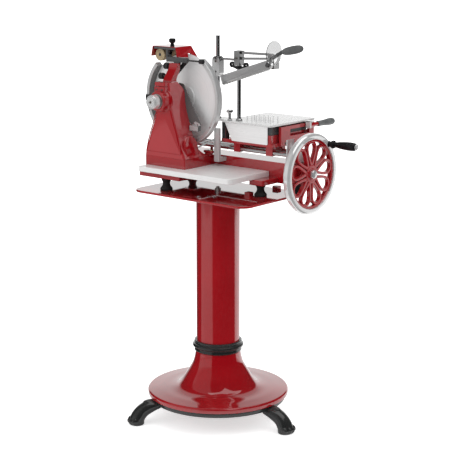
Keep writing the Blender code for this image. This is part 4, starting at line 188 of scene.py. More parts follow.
def effect(name, inputs, outputs):
    """A node group with named sockets. Returns its tree, its input node's outputs and its output node."""
    tree = bpy.data.node_groups.new(name, "ShaderNodeTree")
    kinds = {"value": "NodeSocketFloat", "colour": "NodeSocketColor", "vector": "NodeSocketVector"}
    for label, kind, default in inputs:
        made = tree.interface.new_socket(name=label, in_out="INPUT", socket_type=kinds[kind])
        made.default_value = default
    for label, kind in outputs:
        tree.interface.new_socket(name=label, in_out="OUTPUT", socket_type=kinds[kind])
    given = tree.nodes.new("NodeGroupInput").outputs
    result = tree.nodes.new("NodeGroupOutput").inputs
    return tree, given, result


def use(tree, group, inputs):
    """A shared effect with its inputs given. Returns its outputs."""
    return node(tree, "ShaderNodeGroup", inputs, node_tree=group).outputs


# Effects that several finishes share


def make_orange_peel():
    """The slight ripple of sprayed enamel, with a few dust nibs under it."""
    tree, given, result = effect(
        "orange_peel", [("Scale", "value", 260.0), ("Nibs", "value", 0.2)], [("Height", "value")]
    )
    place = place_in(tree)
    ripple = noise(tree, place, given["Scale"], 2.0, 0.4)
    broad = noise(tree, place, 22.0, 2.0, 0.5)
    specks = node(tree, "ShaderNodeTexVoronoi", {"Vector": place, "Scale": 160.0}, feature="F1")
    nib = maths(tree, "LESS_THAN", specks.outputs["Distance"], 0.08)
    height = maths(tree, "ADD", ripple, maths(tree, "MULTIPLY", broad, 2.5))
    height = maths(tree, "ADD", height, maths(tree, "MULTIPLY", nib, given["Nibs"]))
    feed(tree, result, {"Height": height})
    return tree


def make_smudges():
    """Where hands and cloths have been: roughness that drifts between two values."""
    tree, given, result = effect(
        "smudges",
        [("Low", "value", 0.05), ("High", "value", 0.2), ("Scale", "value", 14.0)],
        [("Roughness", "value"), ("Mask", "value")],
    )
    place = place_in(tree)
    broad = noise(tree, place, given["Scale"], 4.0, 0.6)
    fine = noise(tree, place, maths(tree, "MULTIPLY", given["Scale"], 9.0), 3.0, 0.65)
    mask = ranged(tree, broad, 0.42, 0.72)
    mask = maths(tree, "MULTIPLY", mask, ranged(tree, fine, 0.25, 0.75), clamp=True)
    span = maths(tree, "SUBTRACT", given["High"], given["Low"])
    rough = maths(tree, "MULTIPLY_ADD", mask, span, given["Low"])
    feed(tree, result, {"Roughness": rough, "Mask": mask})
    return tree


def make_edge_wear():
    """Colour that thins out on the outward edges, broken up by noise."""
    tree, given, result = effect(
        "edge_wear",
        [
            ("Color", "colour", (0.5, 0.5, 0.5, 1)), ("Worn", "colour", (0.8, 0.8, 0.8, 1)),
            ("Amount", "value", 0.4)
        ],
        [("Color", "colour"), ("Mask", "value")],
    )
    edges = node(tree, "ShaderNodeNewGeometry").outputs["Pointiness"]
    breakup = noise(tree, place_in(tree), 90.0, 4.0, 0.7)
    mask = ranged(tree, maths(tree, "ADD", edges, maths(tree, "MULTIPLY", breakup, 0.03)), 0.535, 0.6)
    mask = maths(tree, "MULTIPLY", mask, given["Amount"], clamp=True)
    feed(tree, result, {"Color": blended(tree, mask, given["Color"], given["Worn"]), "Mask": mask})
    return tree


def make_settled_dust():
    """A faint pale film and specks on what faces up."""
    tree, given, result = effect(
        "settled_dust",
        [("Color", "colour", (0.5, 0.5, 0.5, 1)), ("Amount", "value", 0.1)],
        [("Color", "colour"), ("Mask", "value")],
    )
    normal = node(tree, "ShaderNodeNewGeometry").outputs["Normal"]
    up = node(tree, "ShaderNodeSeparateXYZ", {0: normal}).outputs["Z"]
    film = noise(tree, place_in(tree), 40.0, 5.0, 0.7)
    speck = ranged(tree, noise(tree, place_in(tree), 1400.0, 1.0, 0.5), 0.68, 0.74)
    mask = maths(tree, "MULTIPLY", ranged(tree, up, 0.2, 1.0), maths(tree, "ADD", film, speck))
    mask = maths(tree, "MULTIPLY", mask, given["Amount"], clamp=True)
    feed(tree, result, {"Color": blended(tree, mask, given["Color"], (0.62, 0.59, 0.55)), "Mask": mask})
    return tree


def make_cast_skin():
    """The grain that sand leaves on a casting, under whatever covers it."""
    tree, given, result = effect(
        "cast_skin",
        [("Scale", "value", 420.0), ("Pits", "value", 0.6)],
        [("Height", "value"), ("Mask", "value")],
    )
    place = place_in(tree)
    grain = noise(tree, place, given["Scale"], 4.0, 0.6)
    coarse = maths(tree, "MULTIPLY", given["Scale"], 0.4)
    cells = node(tree, "ShaderNodeTexVoronoi", {"Vector": place, "Scale": coarse})
    pits = ranged(tree, cells.outputs["Distance"], 0.0, 0.25)
    feed(tree, result, {"Height": maths(tree, "MULTIPLY_ADD", pits, given["Pits"], grain), "Mask": grain})
    return tree


def fine_and_broad(tree, result, place, scale, share):
    """Fine lines over broad ones, as a mask and as a height."""
    fine = noise(tree, place, scale, 2.0, 0.6)
    broad = noise(tree, place, maths(tree, "MULTIPLY", scale, share), 2.0, 0.5)
    lines = maths(tree, "MULTIPLY_ADD", broad, 0.5, maths(tree, "MULTIPLY", fine, 0.5))
    feed(tree, result, {"Mask": ranged(tree, lines, 0.3, 0.7), "Height": lines})


def make_brushed_lines():
    """Fine lines of an abrasive belt. Stretch is small along the direction the belt ran in."""
    tree, given, result = effect(
        "brushed_lines",
        [("Stretch", "vector", (0.02, 1.0, 1.0)), ("Scale", "value", 1500.0)],
        [("Mask", "value"), ("Height", "value")],
    )
    run = vectors(tree, "MULTIPLY", place_in(tree), given["Stretch"])
    fine_and_broad(tree, result, run, given["Scale"], 0.18)
    return tree


def make_turning_marks():
    """Rings left by a lathe. Keep is 1 for the two directions across the axis and 0 along it."""
    tree, given, result = effect(
        "turning_marks",
        [("Centre", "vector", (0, 0, 0)), ("Keep", "vector", (1, 1, 0)), ("Pitch", "value", 2400.0)],
        [("Mask", "value"), ("Height", "value")],
    )
    off = vectors(tree, "SUBTRACT", place_in(tree), given["Centre"])
    reach = vectors(tree, "LENGTH", vectors(tree, "MULTIPLY", off, given["Keep"]))
    ring = node(tree, "ShaderNodeCombineXYZ", {0: reach}).outputs[0]
    fine_and_broad(tree, result, ring, given["Pitch"], 0.12)
    return tree


ORANGE_PEEL = make_orange_peel()
SMUDGES = make_smudges()
EDGE_WEAR = make_edge_wear()
SETTLED_DUST = make_settled_dust()
CAST_SKIN = make_cast_skin()
BRUSHED_LINES = make_brushed_lines()
TURNING_MARKS = make_turning_marks()


# Finishes


def finish(name):
    """An empty finish: the material, its node tree and its shader's inputs."""
    made = bpy.data.materials.new(name)
    made.use_nodes = True
    tree = made.node_tree
    shader = tree.nodes["Principled BSDF"].inputs
    return made, tree, shader


def raised(tree, shader, height, distance):
    """Feeds a height to the shader's normal."""
    bump = node(tree, "ShaderNodeBump", {"Height": height, "Distance": distance, "Strength": 1.0})
    feed(tree, shader, {"Normal": bump.outputs["Normal"]})


def shade(colour, factor, lift=0.0):
    return [c * factor + lift for c in colour]


def aged(tree, base, worn, wear, dust=0.0):
    """A colour worn along its edges, with dust on what faces up."""
    colour = use(tree, EDGE_WEAR, {"Color": base, "Worn": (*worn, 1), "Amount": wear})["Color"]
    if dust:
        colour = use(tree, SETTLED_DUST, {"Color": colour, "Amount": dust})["Color"]
    return colour


def smudged(tree, low, high, scale):
    return use(tree, SMUDGES, {"Low": low, "High": high, "Scale": scale})


def enamel(name, colour, deep, peel=260.0, ripple=0.00002):
    """Glossy stove enamel with a clear coat, a slow drift of colour and slightly thin edges."""
    made, tree, shader = finish(name)
    drift = ranged(tree, noise(tree, place_in(tree), 5.0, 2.0, 0.5), 0.35, 0.65)
    base = blended(tree, drift, colour, deep)
    feed(tree, shader, {
        "Base Color": aged(tree, base, (0.55, 0.1, 0.11), 0.25, 0.035),
        "Roughness": smudged(tree, 0.05, 0.16, 9.0)["Roughness"],
        "Coat Weight": 1.0,
        "Coat Roughness": 0.03,
        "Coat IOR": 1.72,
    })
    raised(tree, shader, use(tree, ORANGE_PEEL, {"Scale": peel, "Nibs": 0.15})["Height"], ripple)
    return made


def casting_paint(name, colour, low=0.14, high=0.34, grain=420.0, depth=0.00008, coat=0.6):
    """Paint over a sand casting: the grain shows through and the edges are rubbed."""
    made, tree, shader = finish(name)
    skin = use(tree, CAST_SKIN, {"Scale": grain, "Pits": 0.5})
    base = blended(tree, skin["Mask"], colour, shade(colour, 1.7, 0.004))
    feed(tree, shader, {
        "Base Color": aged(tree, base, (0.1, 0.1, 0.1), 0.5, 0.05),
        "Roughness": smudged(tree, low, high, 16.0)["Roughness"],
        "Coat Weight": coat,
        "Coat Roughness": 0.08,
    })
    raised(tree, shader, skin["Height"], depth)
    return made


def plated(name, colour, low, high, ripple=0.000015, metal=1.0):
    """Bright plating: nearly a mirror, with a trace of polishing and finger marks."""
    made, tree, shader = finish(name)
    marks = smudged(tree, low, high, 20.0)
    tint = blended(tree, marks["Mask"], colour, shade(colour, 0.93))
    feed(tree, shader, {
        "Base Color": aged(tree, tint, (0.93, 0.93, 0.93), 0.3),
        "Roughness": marks["Roughness"],
        "Metallic": metal,
    })
    lines = use(tree, BRUSHED_LINES, {"Stretch": (1.0, 1.0, 0.2), "Scale": 700.0})
    raised(tree, shader, lines["Height"], ripple)
    return made


def lined(tree, shader, lines, low, high, scale, smear, metal):
    """Roughness that follows the lines in a metal, with smudges over them."""
    rough = ranged(tree, lines["Mask"], 0.0, 1.0, low, high)
    marks = smudged(tree, 0.0, smear, scale)
    feed(tree, shader, {"Metallic": metal, "Roughness": maths(tree, "ADD", rough, marks["Roughness"])})


def brushed(name, colour, stretch, low, high, scale=1500.0, metal=1.0):
    """Sheet or bar metal with the lines of the belt in it."""
    made, tree, shader = finish(name)
    lines = use(tree, BRUSHED_LINES, {"Stretch": stretch, "Scale": scale})
    tint = blended(tree, lines["Mask"], colour, shade(colour, 0.86))
    feed(tree, shader, {"Base Color": aged(tree, tint, (0.9, 0.9, 0.9), 0.4, 0.02)})
    lined(tree, shader, lines, low, high, 11.0, 0.08, metal)
    raised(tree, shader, lines["Height"], 0.00002)
    return made


def lathe_turned(name, colour, low, high, pitch, metal):
    """Metal turned on a lathe: rings about the blade's axis."""
    made, tree, shader = finish(name)
    centre = Vector((BLADE_X, 0, BLADE_Z)) + STAND
    rings = use(tree, TURNING_MARKS, {"Centre": centre, "Keep": (1, 0, 1), "Pitch": pitch})
    tint = blended(tree, rings["Mask"], colour, shade(colour, 0.88))
    feed(tree, shader, {"Base Color": aged(tree, tint, (0.92, 0.92, 0.92), 0.35)})
    lined(tree, shader, rings, low, high, 18.0, 0.07, metal)
    raised(tree, shader, rings["Height"], 0.00002)
    return made


def moulded(name, colour, low, high, grain=900.0, depth=0.00003, coat=0.0):
    """Moulded plastic or rubber: a fine even grain and a dull bloom."""
    made, tree, shader = finish(name)
    skin = use(tree, CAST_SKIN, {"Scale": grain, "Pits": 0.2})
    bloom = ranged(tree, noise(tree, place_in(tree), 30.0, 4.0, 0.6), 0.3, 0.7)
    base = blended(tree, bloom, colour, shade(colour, 1.5, 0.003))
    feed(tree, shader, {
        "Base Color": aged(tree, base, (0.12, 0.12, 0.12), 0.4, 0.02),
        "Roughness": smudged(tree, low, high, 24.0)["Roughness"],
        "Specular IOR Level": 0.2,
        "Coat Weight": coat,
    })
    raised(tree, shader, skin["Height"], depth)
    return made


def oiled_steel(name, colour, low=0.22, high=0.45):
    """Machined steel inside the drive: dull, with a brown film of old oil in places."""
    made, tree, shader = finish(name)
    film = ranged(tree, noise(tree, place_in(tree), 34.0, 5.0, 0.65), 0.42, 0.7)
    base = blended(tree, film, colour, (0.16, 0.11, 0.06))
    feed(tree, shader, {
        "Base Color": aged(tree, base, (0.8, 0.8, 0.78), 0.6),
        "Metallic": ranged(tree, film, 0.0, 1.0, 1.0, 0.55),
        "Roughness": ranged(tree, film, 0.0, 1.0, high, low),
    })
    lines = use(tree, BRUSHED_LINES, {"Stretch": (1.0, 0.3, 1.0), "Scale": 900.0})
    raised(tree, shader, lines["Height"], 0.00003)
    return made


def bonded_grit(name, colour, speck):
    """A grinding stone: coarse grains held in a bond, dark where it has cut."""
    made, tree, shader = finish(name)
    place = place_in(tree)
    cells = node(tree, "ShaderNodeTexVoronoi", {"Vector": place, "Scale": 1100.0})
    grains = node(tree, "ShaderNodeSeparateColor", {0: cells.outputs["Color"]}).outputs[0]
    base = blended(tree, ranged(tree, grains, 0.55, 0.9), colour, speck)
    load = ranged(tree, noise(tree, place, 55.0, 4.0, 0.6), 0.5, 0.75, 0.0, 0.55)
    base = blended(tree, load, base, (0.1, 0.085, 0.07))
    feed(tree, shader, {
        "Base Color": aged(tree, base, (0.5, 0.45, 0.36), 0.5),
        "Roughness": ranged(tree, grains, 0.0, 1.0, 0.95, 0.6),
    })
    raised(tree, shader, cells.outputs["Distance"], 0.0004)
    return made


def clear_sheet(name):
    """A clear plastic disc, with faint wiping marks."""
    made, tree, shader = finish(name)
    marks = smudged(tree, 0.01, 0.05, 26.0)
    feed(tree, shader, {
        "Base Color": blended(tree, marks["Mask"], (0.99, 0.99, 0.99), (0.94, 0.96, 0.96)),
        "Roughness": marks["Roughness"],
        "Transmission Weight": 1.0,
        "IOR": 1.35,
    })
    raised(tree, shader, noise(tree, place_in(tree), 60.0, 2.0, 0.5), 0.00001)
    return made


RED = (0.335, 0.0022, 0.0068)
RED_DEEP = (0.285, 0.0016, 0.0052)
BLACK = (0.01, 0.011, 0.011)
BRIGHT = (0.82, 0.82, 0.83)
STAINLESS = (0.86, 0.86, 0.855)
ALONG_X = (0.02, 1.0, 1.0)
ALONG_Y = (1.0, 0.02, 1.0)

red_enamel = enamel("red_enamel_of_the_machine", RED, RED_DEEP)
red_pedestal = enamel("red_enamel_of_the_pedestal", RED, RED_DEEP, peel=180.0, ripple=0.00003)
black_casting = casting_paint("black_enamel_of_the_legs", BLACK)
dark_paint = casting_paint(
    "dark_paint_of_the_sharpener", (0.03, 0.031, 0.032), 0.25, 0.45, 600.0, 0.00005, 0.2
)
# Dark grey for the deflector plate and the left of the ring's inner face: painted shade where they lie in
# shadow, not a coating
painted_shade_grey = casting_paint(
    "painted_shade_grey_of_the_deflector", (0.085, 0.088, 0.088), 0.2, 0.34, 900.0, 0.00002, 0.3
)
chrome = plated("bright_chrome", BRIGHT, 0.04, 0.12)
rim_chrome = plated("chrome_of_the_wheel_rim", (0.93, 0.93, 0.93), 0.05, 0.14, metal=0.6)
satin_cast = plated("polished_cast_aluminium", (0.78, 0.78, 0.78), 0.18, 0.34, 0.00004, metal=0.7)
blade_steel = lathe_turned("ground_blade_steel", (0.93, 0.93, 0.93), 0.28, 0.42, 1500.0, 0.2)
ring_metal = lathe_turned("turned_guard_ring", (0.82, 0.82, 0.82), 0.22, 0.36, 1200.0, 0.65)
knob_metal = lathe_turned("turned_axle_knob", (0.86, 0.86, 0.86), 0.2, 0.34, 3000.0, 0.6)
tray_sheet = brushed("stainless_sheet_of_the_tray", (0.92, 0.92, 0.915), ALONG_X, 0.24, 0.38, metal=0.25)
panel_sheet = brushed("stainless_sheet_of_the_panel", (0.95, 0.95, 0.95), ALONG_X, 0.24, 0.36, metal=0.2)
table_sheet = brushed("stainless_plate_of_the_table", STAINLESS, ALONG_Y, 0.2, 0.32, metal=0.4)
rod_steel = brushed("ground_rod_steel", (0.72, 0.72, 0.73), (1.0, 0.05, 0.05), 0.08, 0.18, 900.0)
post_steel = brushed("ground_post_steel", (0.66, 0.66, 0.67), (0.05, 0.05, 1.0), 0.08, 0.18, 900.0)
bar_steel = brushed("brushed_press_bar", (0.55, 0.55, 0.55), ALONG_X, 0.24, 0.38, metal=0.8)
guard_metal = plated("worn_plating_of_the_guard_post", (0.46, 0.46, 0.46), 0.14, 0.28, 0.00004, metal=0.3)
press_metal = plated("polished_press_casting", (0.6, 0.6, 0.6), 0.16, 0.3, 0.00004)
black_plastic = moulded("black_grip_plastic", (0.006, 0.006, 0.007), 0.24, 0.4, coat=0.1)
paddle_plastic = moulded("grey_press_grip", (0.075, 0.077, 0.078), 0.35, 0.5)
table_grip_plastic = moulded("grey_table_grip", (0.1, 0.105, 0.105), 0.25, 0.4, coat=0.2)
rubber = moulded("foot_rubber", (0.014, 0.014, 0.014), 0.45, 0.7, 500.0, 0.00008)
dark_steel = oiled_steel("darkened_steel", (0.2, 0.2, 0.2), 0.2, 0.35)
drive_steel = oiled_steel("oiled_drive_steel", (0.55, 0.55, 0.53))
chain_steel = oiled_steel("oiled_chain_steel", (0.34, 0.33, 0.31), 0.25, 0.5)
brass = plated("brass_of_the_button", (0.72, 0.52, 0.22), 0.12, 0.3)
stone_front = bonded_grit("tan_grinding_stone", (0.36, 0.27, 0.15), (0.52, 0.42, 0.26))
stone_back = bonded_grit("brown_truing_stone", (0.3, 0.19, 0.11), (0.44, 0.32, 0.2))
clear = clear_sheet("clear_hand_guard")


# Shaping helpers


def direction(axis):
    return Vector([1.0 if name == axis else 0.0 for name in "XYZ"])


def across(axis, place):
    """The two coordinates of a place across an axis."""
    return [c for c, name in zip(place, "XYZ") if name != axis]


def spot(axis, u, v, along):
    """A place from the two coordinates across an axis and the one along it."""
    if axis == "X":
        return Vector((along, u, v))
    if axis == "Y":
        return Vector((u, along, v))
    return Vector((u, v, along))


def oblong(inner, low, outer, high):
    """Four corners: a tube's profile, a disc's where the inner radius is nought, or a plate's outline."""
    return [(inner, low), (outer, low), (outer, high), (inner, high)]


def flowing(points, steps):
    """Places on a smooth curve that passes through the given ones."""
    places = [Vector((*point, 0.0)) for point in points]
    run = []
    for index, (here, there) in enumerate(zip(places, places[1:])):
        before = places[max(index - 1, 0)]
        after = places[min(index + 2, len(places) - 1)]
        reach = (there - here).length / 3
        leave = here + (there - before).normalized() * reach
        arrive = there - (after - here).normalized() * reach
        run += interpolate_bezier(here, leave, arrive, there, steps + 1)[:-1]
    run.append(places[-1])
    return [(place.x, place.y) for place in run]


def swelling(shares, radius, low, rise, steps):
    """The side of a turned grip. Each share is (height, radius) of the whole height and largest radius."""
    return flowing([(radius * r, low + rise * z) for z, r in shares], steps)


def arc(radius, start, end, steps, cu, cv):
    angles = [start + (end - start) * step / steps for step in range(steps + 1)]
    return [(cu + radius * math.cos(angle), cv + radius * math.sin(angle)) for angle in angles]


def around_two(near, near_r, far, far_r, steps):
    """The outline of a band round two circles."""
    heading = math.atan2(far[1] - near[1], far[0] - near[0])
    lean = math.acos((near_r - far_r) / math.hypot(far[0] - near[0], far[1] - near[1]))
    outline = arc(near_r, heading + lean, heading + math.tau - lean, steps, *near)
    return outline + arc(far_r, heading - lean, heading + lean, steps, *far)


def faced(bm):
    """Turns every face outwards."""
    bmesh.ops.recalc_face_normals(bm, faces=bm.faces[:])
    return bm


def merged(bm, flat=0.0):
    """Joins what lies at the same place and, within an angle in degrees, faces that lie in one plane."""
    bmesh.ops.remove_doubles(bm, verts=bm.verts[:], dist=SAME_PLACE)
    if flat:
        bmesh.ops.dissolve_limit(bm, angle_limit=math.radians(flat), verts=bm.verts[:], edges=bm.edges[:])
    return bm


def softened(bm, edges, reach, rings, clamp=True):
    """Rounds the edges that are given."""
    bmesh.ops.bevel(
        bm, geom=edges, offset=reach, segments=rings, profile=0.5, affect="EDGES", material=-1,
        clamp_overlap=clamp
    )


def round_corners(bm, soft, rings):
    """Rounds the sharp corners of a profile or an outline, no further than its sides allow."""
    sharp = []
    corners = list(bm.verts)
    radii = soft if isinstance(soft, list) else [soft] * len(corners)
    for vert, radius in zip(corners, radii):
        if len(vert.link_edges) != 2 or not radius:
            continue
        one, two = [edge.other_vert(vert).co - vert.co for edge in vert.link_edges]
        if one.angle(two) < math.radians(160):
            sharp.append((vert, min(radius, 0.45 * one.length, 0.45 * two.length)))
    for vert, reach in sharp:
        bmesh.ops.bevel(
            bm, geom=[vert], offset=reach, offset_type="OFFSET", segments=rings, profile=0.5,
            affect="VERTICES", material=-1
        )


def turned(profile, centre, axis, steps, soft=0.0, rings=3, sweep=math.tau, start=0.0):
    """A profile of (radius, place along the axis), its corners rounded, spun about the axis.

    A profile that starts off the axis is closed with itself."""
    bm = bmesh.new()
    cu, cv = across(axis, centre)
    verts = [bm.verts.new(spot(axis, cu + radius, cv, along)) for radius, along in profile]
    pairs = list(zip(verts, verts[1:]))
    if profile[0][0] > 0.0:
        pairs.append((verts[-1], verts[0]))
    for pair in pairs:
        bm.edges.new(pair)
    if soft:
        round_corners(bm, soft, rings)
    middle = spot(axis, cu, cv, 0.0)
    if start:
        turn(bm, start, axis, middle)
    whole = sweep == math.tau
    moved = bm.verts[:] + bm.edges[:]
    bmesh.ops.spin(
        bm, geom=moved, cent=middle, axis=direction(axis), angle=sweep, steps=steps, use_merge=whole
    )
    if not whole:
        bmesh.ops.holes_fill(bm, edges=[edge for edge in bm.edges if edge.is_boundary])
    return faced(merged(bm))


def drawn_out(bm, reach):
    """A sheet made a solid by drawing it out."""
    drawn = bmesh.ops.extrude_face_region(bm, geom=bm.faces[:], use_keep_orig=True)
    moved = [item for item in drawn["geom"] if isinstance(item, bmesh.types.BMVert)]
    bmesh.ops.translate(bm, verts=moved, vec=reach)
    return faced(bm)


def slab(outline, axis, low, high, soft=0.0, rings=5):
    """An outline filled and drawn out along an axis. Soft is the radius of its corners, or one for each."""
    bm = bmesh.new()
    bm.faces.new([bm.verts.new(spot(axis, u, v, low)) for u, v in outline])
    if soft:
        round_corners(bm, soft, rings)
    return drawn_out(bm, direction(axis) * (high - low))


def block(low, high, soft=0.0, rings=3):
    """A block with rounded edges."""
    bm = bmesh.new()
    bmesh.ops.create_cube(bm, size=1.0)
    low = Vector(low)
    high = Vector(high)
    bmesh.ops.scale(bm, vec=high - low, verts=bm.verts[:])
    bmesh.ops.translate(bm, vec=(low + high) / 2, verts=bm.verts[:])
    if soft:
        softened(bm, bm.edges[:], soft, rings)
    return bm


def egg(centre, radii, steps):
    """A rounded lump of a casting."""
    bm = bmesh.new()
    bmesh.ops.create_uvsphere(bm, u_segments=steps, v_segments=steps // 2, radius=1.0)
    bmesh.ops.scale(bm, vec=radii, verts=bm.verts[:])
    bmesh.ops.translate(bm, vec=centre, verts=bm.verts[:])
    return bm


def limb(stations, sides):
    """A limb of a casting: a round end drawn out from station to station.

    Each station is (middle, across, over, half width, half thickness)."""
    places = []
    for middle, wide, over, half_width, half_t in stations:
        wide = Vector(wide).normalized()
        over = Vector(over).normalized()
        along = wide.cross(over)
        basis = Matrix((wide * half_width, over * half_t, along * 0.01)).transposed()
        places.append(Matrix.Translation(Vector(middle)) @ basis.to_4x4())
    bm = bmesh.new()
    bmesh.ops.create_circle(bm, cap_ends=True, segments=sides, radius=1.0, matrix=places[0])
    cap = bm.faces[:][0]
    for index, (here, there) in enumerate(zip(places, places[1:])):
        drawn = bmesh.ops.extrude_face_region(bm, geom=[cap], use_keep_orig=True)
        moved = [item for item in drawn["geom"] if isinstance(item, bmesh.types.BMVert)]
        bmesh.ops.transform(bm, matrix=there @ here.inverted(), verts=moved)
        if index:
            bmesh.ops.delete(bm, geom=[cap], context="FACES_ONLY")
        cap = next(item for item in drawn["geom"] if isinstance(item, bmesh.types.BMFace))
    return faced(bm)


def turn(bm, angle, axis, centre):
    bmesh.ops.rotate(bm, cent=Vector(centre), matrix=Matrix.Rotation(angle, 3, axis), verts=bm.verts[:])
    return bm


def gathered(*parts):
    """Several shells as one piece."""
    whole = bmesh.new()
    for part in parts:
        shell = bpy.data.meshes.new("shell")
        part.to_mesh(shell)
        part.free()
        whole.from_mesh(shell)
        bpy.data.meshes.remove(shell)
    return whole


def placed(name, data):
    """A new object in the scene."""
    made = bpy.data.objects.new(name, data)
    bpy.context.scene.collection.objects.link(made)
    return made


def as_object(name, bm):
    mesh = bpy.data.meshes.new(name)
    faced(bm).to_mesh(mesh)
    bm.free()
    return placed(name, mesh)


def settled(host, used=()):
    """The mesh that an object's modifiers make of it."""
    graph = bpy.context.evaluated_depsgraph_get()
    mesh = bpy.data.meshes.new_from_object(host.evaluated_get(graph))
    bm = bmesh.new()
    bm.from_mesh(mesh)
    for old in (host, *used):
        bpy.data.objects.remove(old, do_unlink=True)
    bpy.data.meshes.remove(mesh)
    return bm


def added(host, name, kind, **settings):
    """Gives an object a modifier."""
    modifier = host.modifiers.new(name, kind)
    for key, value in settings.items():
        setattr(modifier, key, value)


def melded(base, joined=(), cut=()):
    """One solid from several: the joined ones added, the cutters taken away."""
    host = as_object("shape", base)
    tools = []
    for operation, solids in (("UNION", joined), ("DIFFERENCE", cut)):
        for solid in solids:
            tool = as_object("tool", solid)
            tools.append(tool)
            added(host, operation.lower(), "BOOLEAN", operation=operation, solver="EXACT", object=tool)
    return merged(settled(host, tools), 0.4)


def smoothed(bm):
    """A casting's shape, divided twice and smoothed."""
    host = as_object("shape", bm)
    added(host, "smoothing", "SUBSURF", levels=2, render_levels=2)
    return settled(host)


def copied(name):
    """A CAD node's shape in the machine's own places, merged, so that its edges can be rounded."""
    bm = bmesh.new()
    bm.from_mesh(frame["nodes"][name].data)
    merged(bm, 0.5)
    bmesh.ops.translate(bm, verts=bm.verts[:], vec=-STAND)
    return bm


def piece(name, bm, look, body, stands_for=None, slot=None, bevel=0.0, rings=3, angle=32):
    """The finished piece: in its place, with its finish, riding on its body."""
    faced(bm)
    bmesh.ops.translate(bm, verts=bm.verts[:], vec=STAND)
    mesh = bpy.data.meshes.new(name)
    bm.to_mesh(mesh)
    bm.free()
    mesh.materials.clear()
    mesh.materials.append(look)
    mesh.shade_smooth()
    made = placed(name, mesh)
    if bevel:
        added(
            made, "rounded_edges", "BEVEL", width=bevel, segments=rings,
            limit_method="ANGLE", angle_limit=math.radians(angle), miter_outer="MITER_ARC",
        )
    added(made, "flat_faces", "WEIGHTED_NORMAL", keep_sharp=True)
    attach(made, body)
    if stands_for:
        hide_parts(stands_for)


def fixed(name, bm, look, stands_for=None, slot=None, **edges):
    """A piece that stands still."""
    piece(name, bm, look, "stand_and_frame", stands_for, slot, **edges)


# Small hardware


def screw_head(place, axis, side, radius, height):
    """A domed screw head with a hexagon socket, standing on a face."""
    u, v = across(axis, place)
    base = place["XYZ".index(axis)]
    profile = [
        (0.0, base - side * 0.001),
        (radius, base - side * 0.001),
        (radius, base + side * height * 0.45),
        (radius * 0.82, base + side * height * 0.85),
        (radius * 0.5, base + side * height),
        (0.0, base + side * height),
    ]
    head = turned(profile, place, axis, 24, soft=radius * 0.12, rings=2)
    hexagon = arc(radius * 0.42, 0, math.tau, 6, u, v)[:-1]
    socket = slab(hexagon, axis, base + side * height * 0.35, base + side * height * 2)
    return melded(head, cut=[socket])


def screws(name, places, axis, side, radius, height, look, body, slot):
    """Screw heads of one kind as one piece."""
    heads = [screw_head(place, axis, side, radius, height) for place in places]
    piece(name, gathered(*heads), look, body, slot=slot)


def knurled(place, axis, low, high, radius, lobes, rounding):
    """A round grip with fine lengthwise grooves."""
    u, v = across(axis, place)
    steps = lobes * 4
    outline = []
    for step in range(steps):
        angle = math.tau * step / steps
        reach = radius * (1.0 if step % 4 in (0, 1) else 0.955)
        outline.append((u + reach * math.cos(angle), v + reach * math.sin(angle)))
    grip = slab(outline, axis, low, high)
    ends = [edge for edge in grip.edges if max(len(face.verts) for face in edge.link_faces) > 4]
    softened(grip, ends, rounding, 2, clamp=False)
    return grip


def band(outer, inner, axis, low, high, soft):
    """A flat ring between two loops of as many points, drawn out along an axis, its rims rounded."""
    bm = bmesh.new()
    for loop in (outer, inner):
        verts = [bm.verts.new(spot(axis, u, v, low)) for u, v in loop]
        for index, vert in enumerate(verts):
            bm.edges.new((vert, verts[(index + 1) % len(verts)]))
    bmesh.ops.bridge_loops(bm, edges=bm.edges[:])
    drawn_out(bm, direction(axis) * (high - low))
    rims = [edge for edge in bm.edges if edge.calc_face_angle(0.0) > SHARP_EDGE]
    along = "XYZ".index(axis)
    rims = [edge for edge in rims if abs(edge.verts[0].co[along] - edge.verts[1].co[along]) < 0.00001]
    softened(bm, rims, soft, 3)
    return bm


def drawn_in(outline, reach):
    """An outline made smaller all round by the same reach."""
    area = sum(a[0] * b[1] - b[0] * a[1] for a, b in zip(outline, outline[1:] + outline[:1]))
    side = 1.0 if area > 0 else -1.0
    inner = []
    for index, here in enumerate(outline):
        before = Vector(outline[index - 1])
        after = Vector(outline[(index + 1) % len(outline)])
        place = Vector(here)
        one = (place - before).normalized()
        two = (after - place).normalized()
        lean = (Vector((-one.y, one.x)) + Vector((-two.y, two.x))) * side
        lean.normalize()
        square = max(0.35, lean.dot(Vector((-one.y, one.x)) * side))
        moved = place + lean * (reach / square)
        inner.append((moved.x, moved.y))
    return inner


# Pedestal


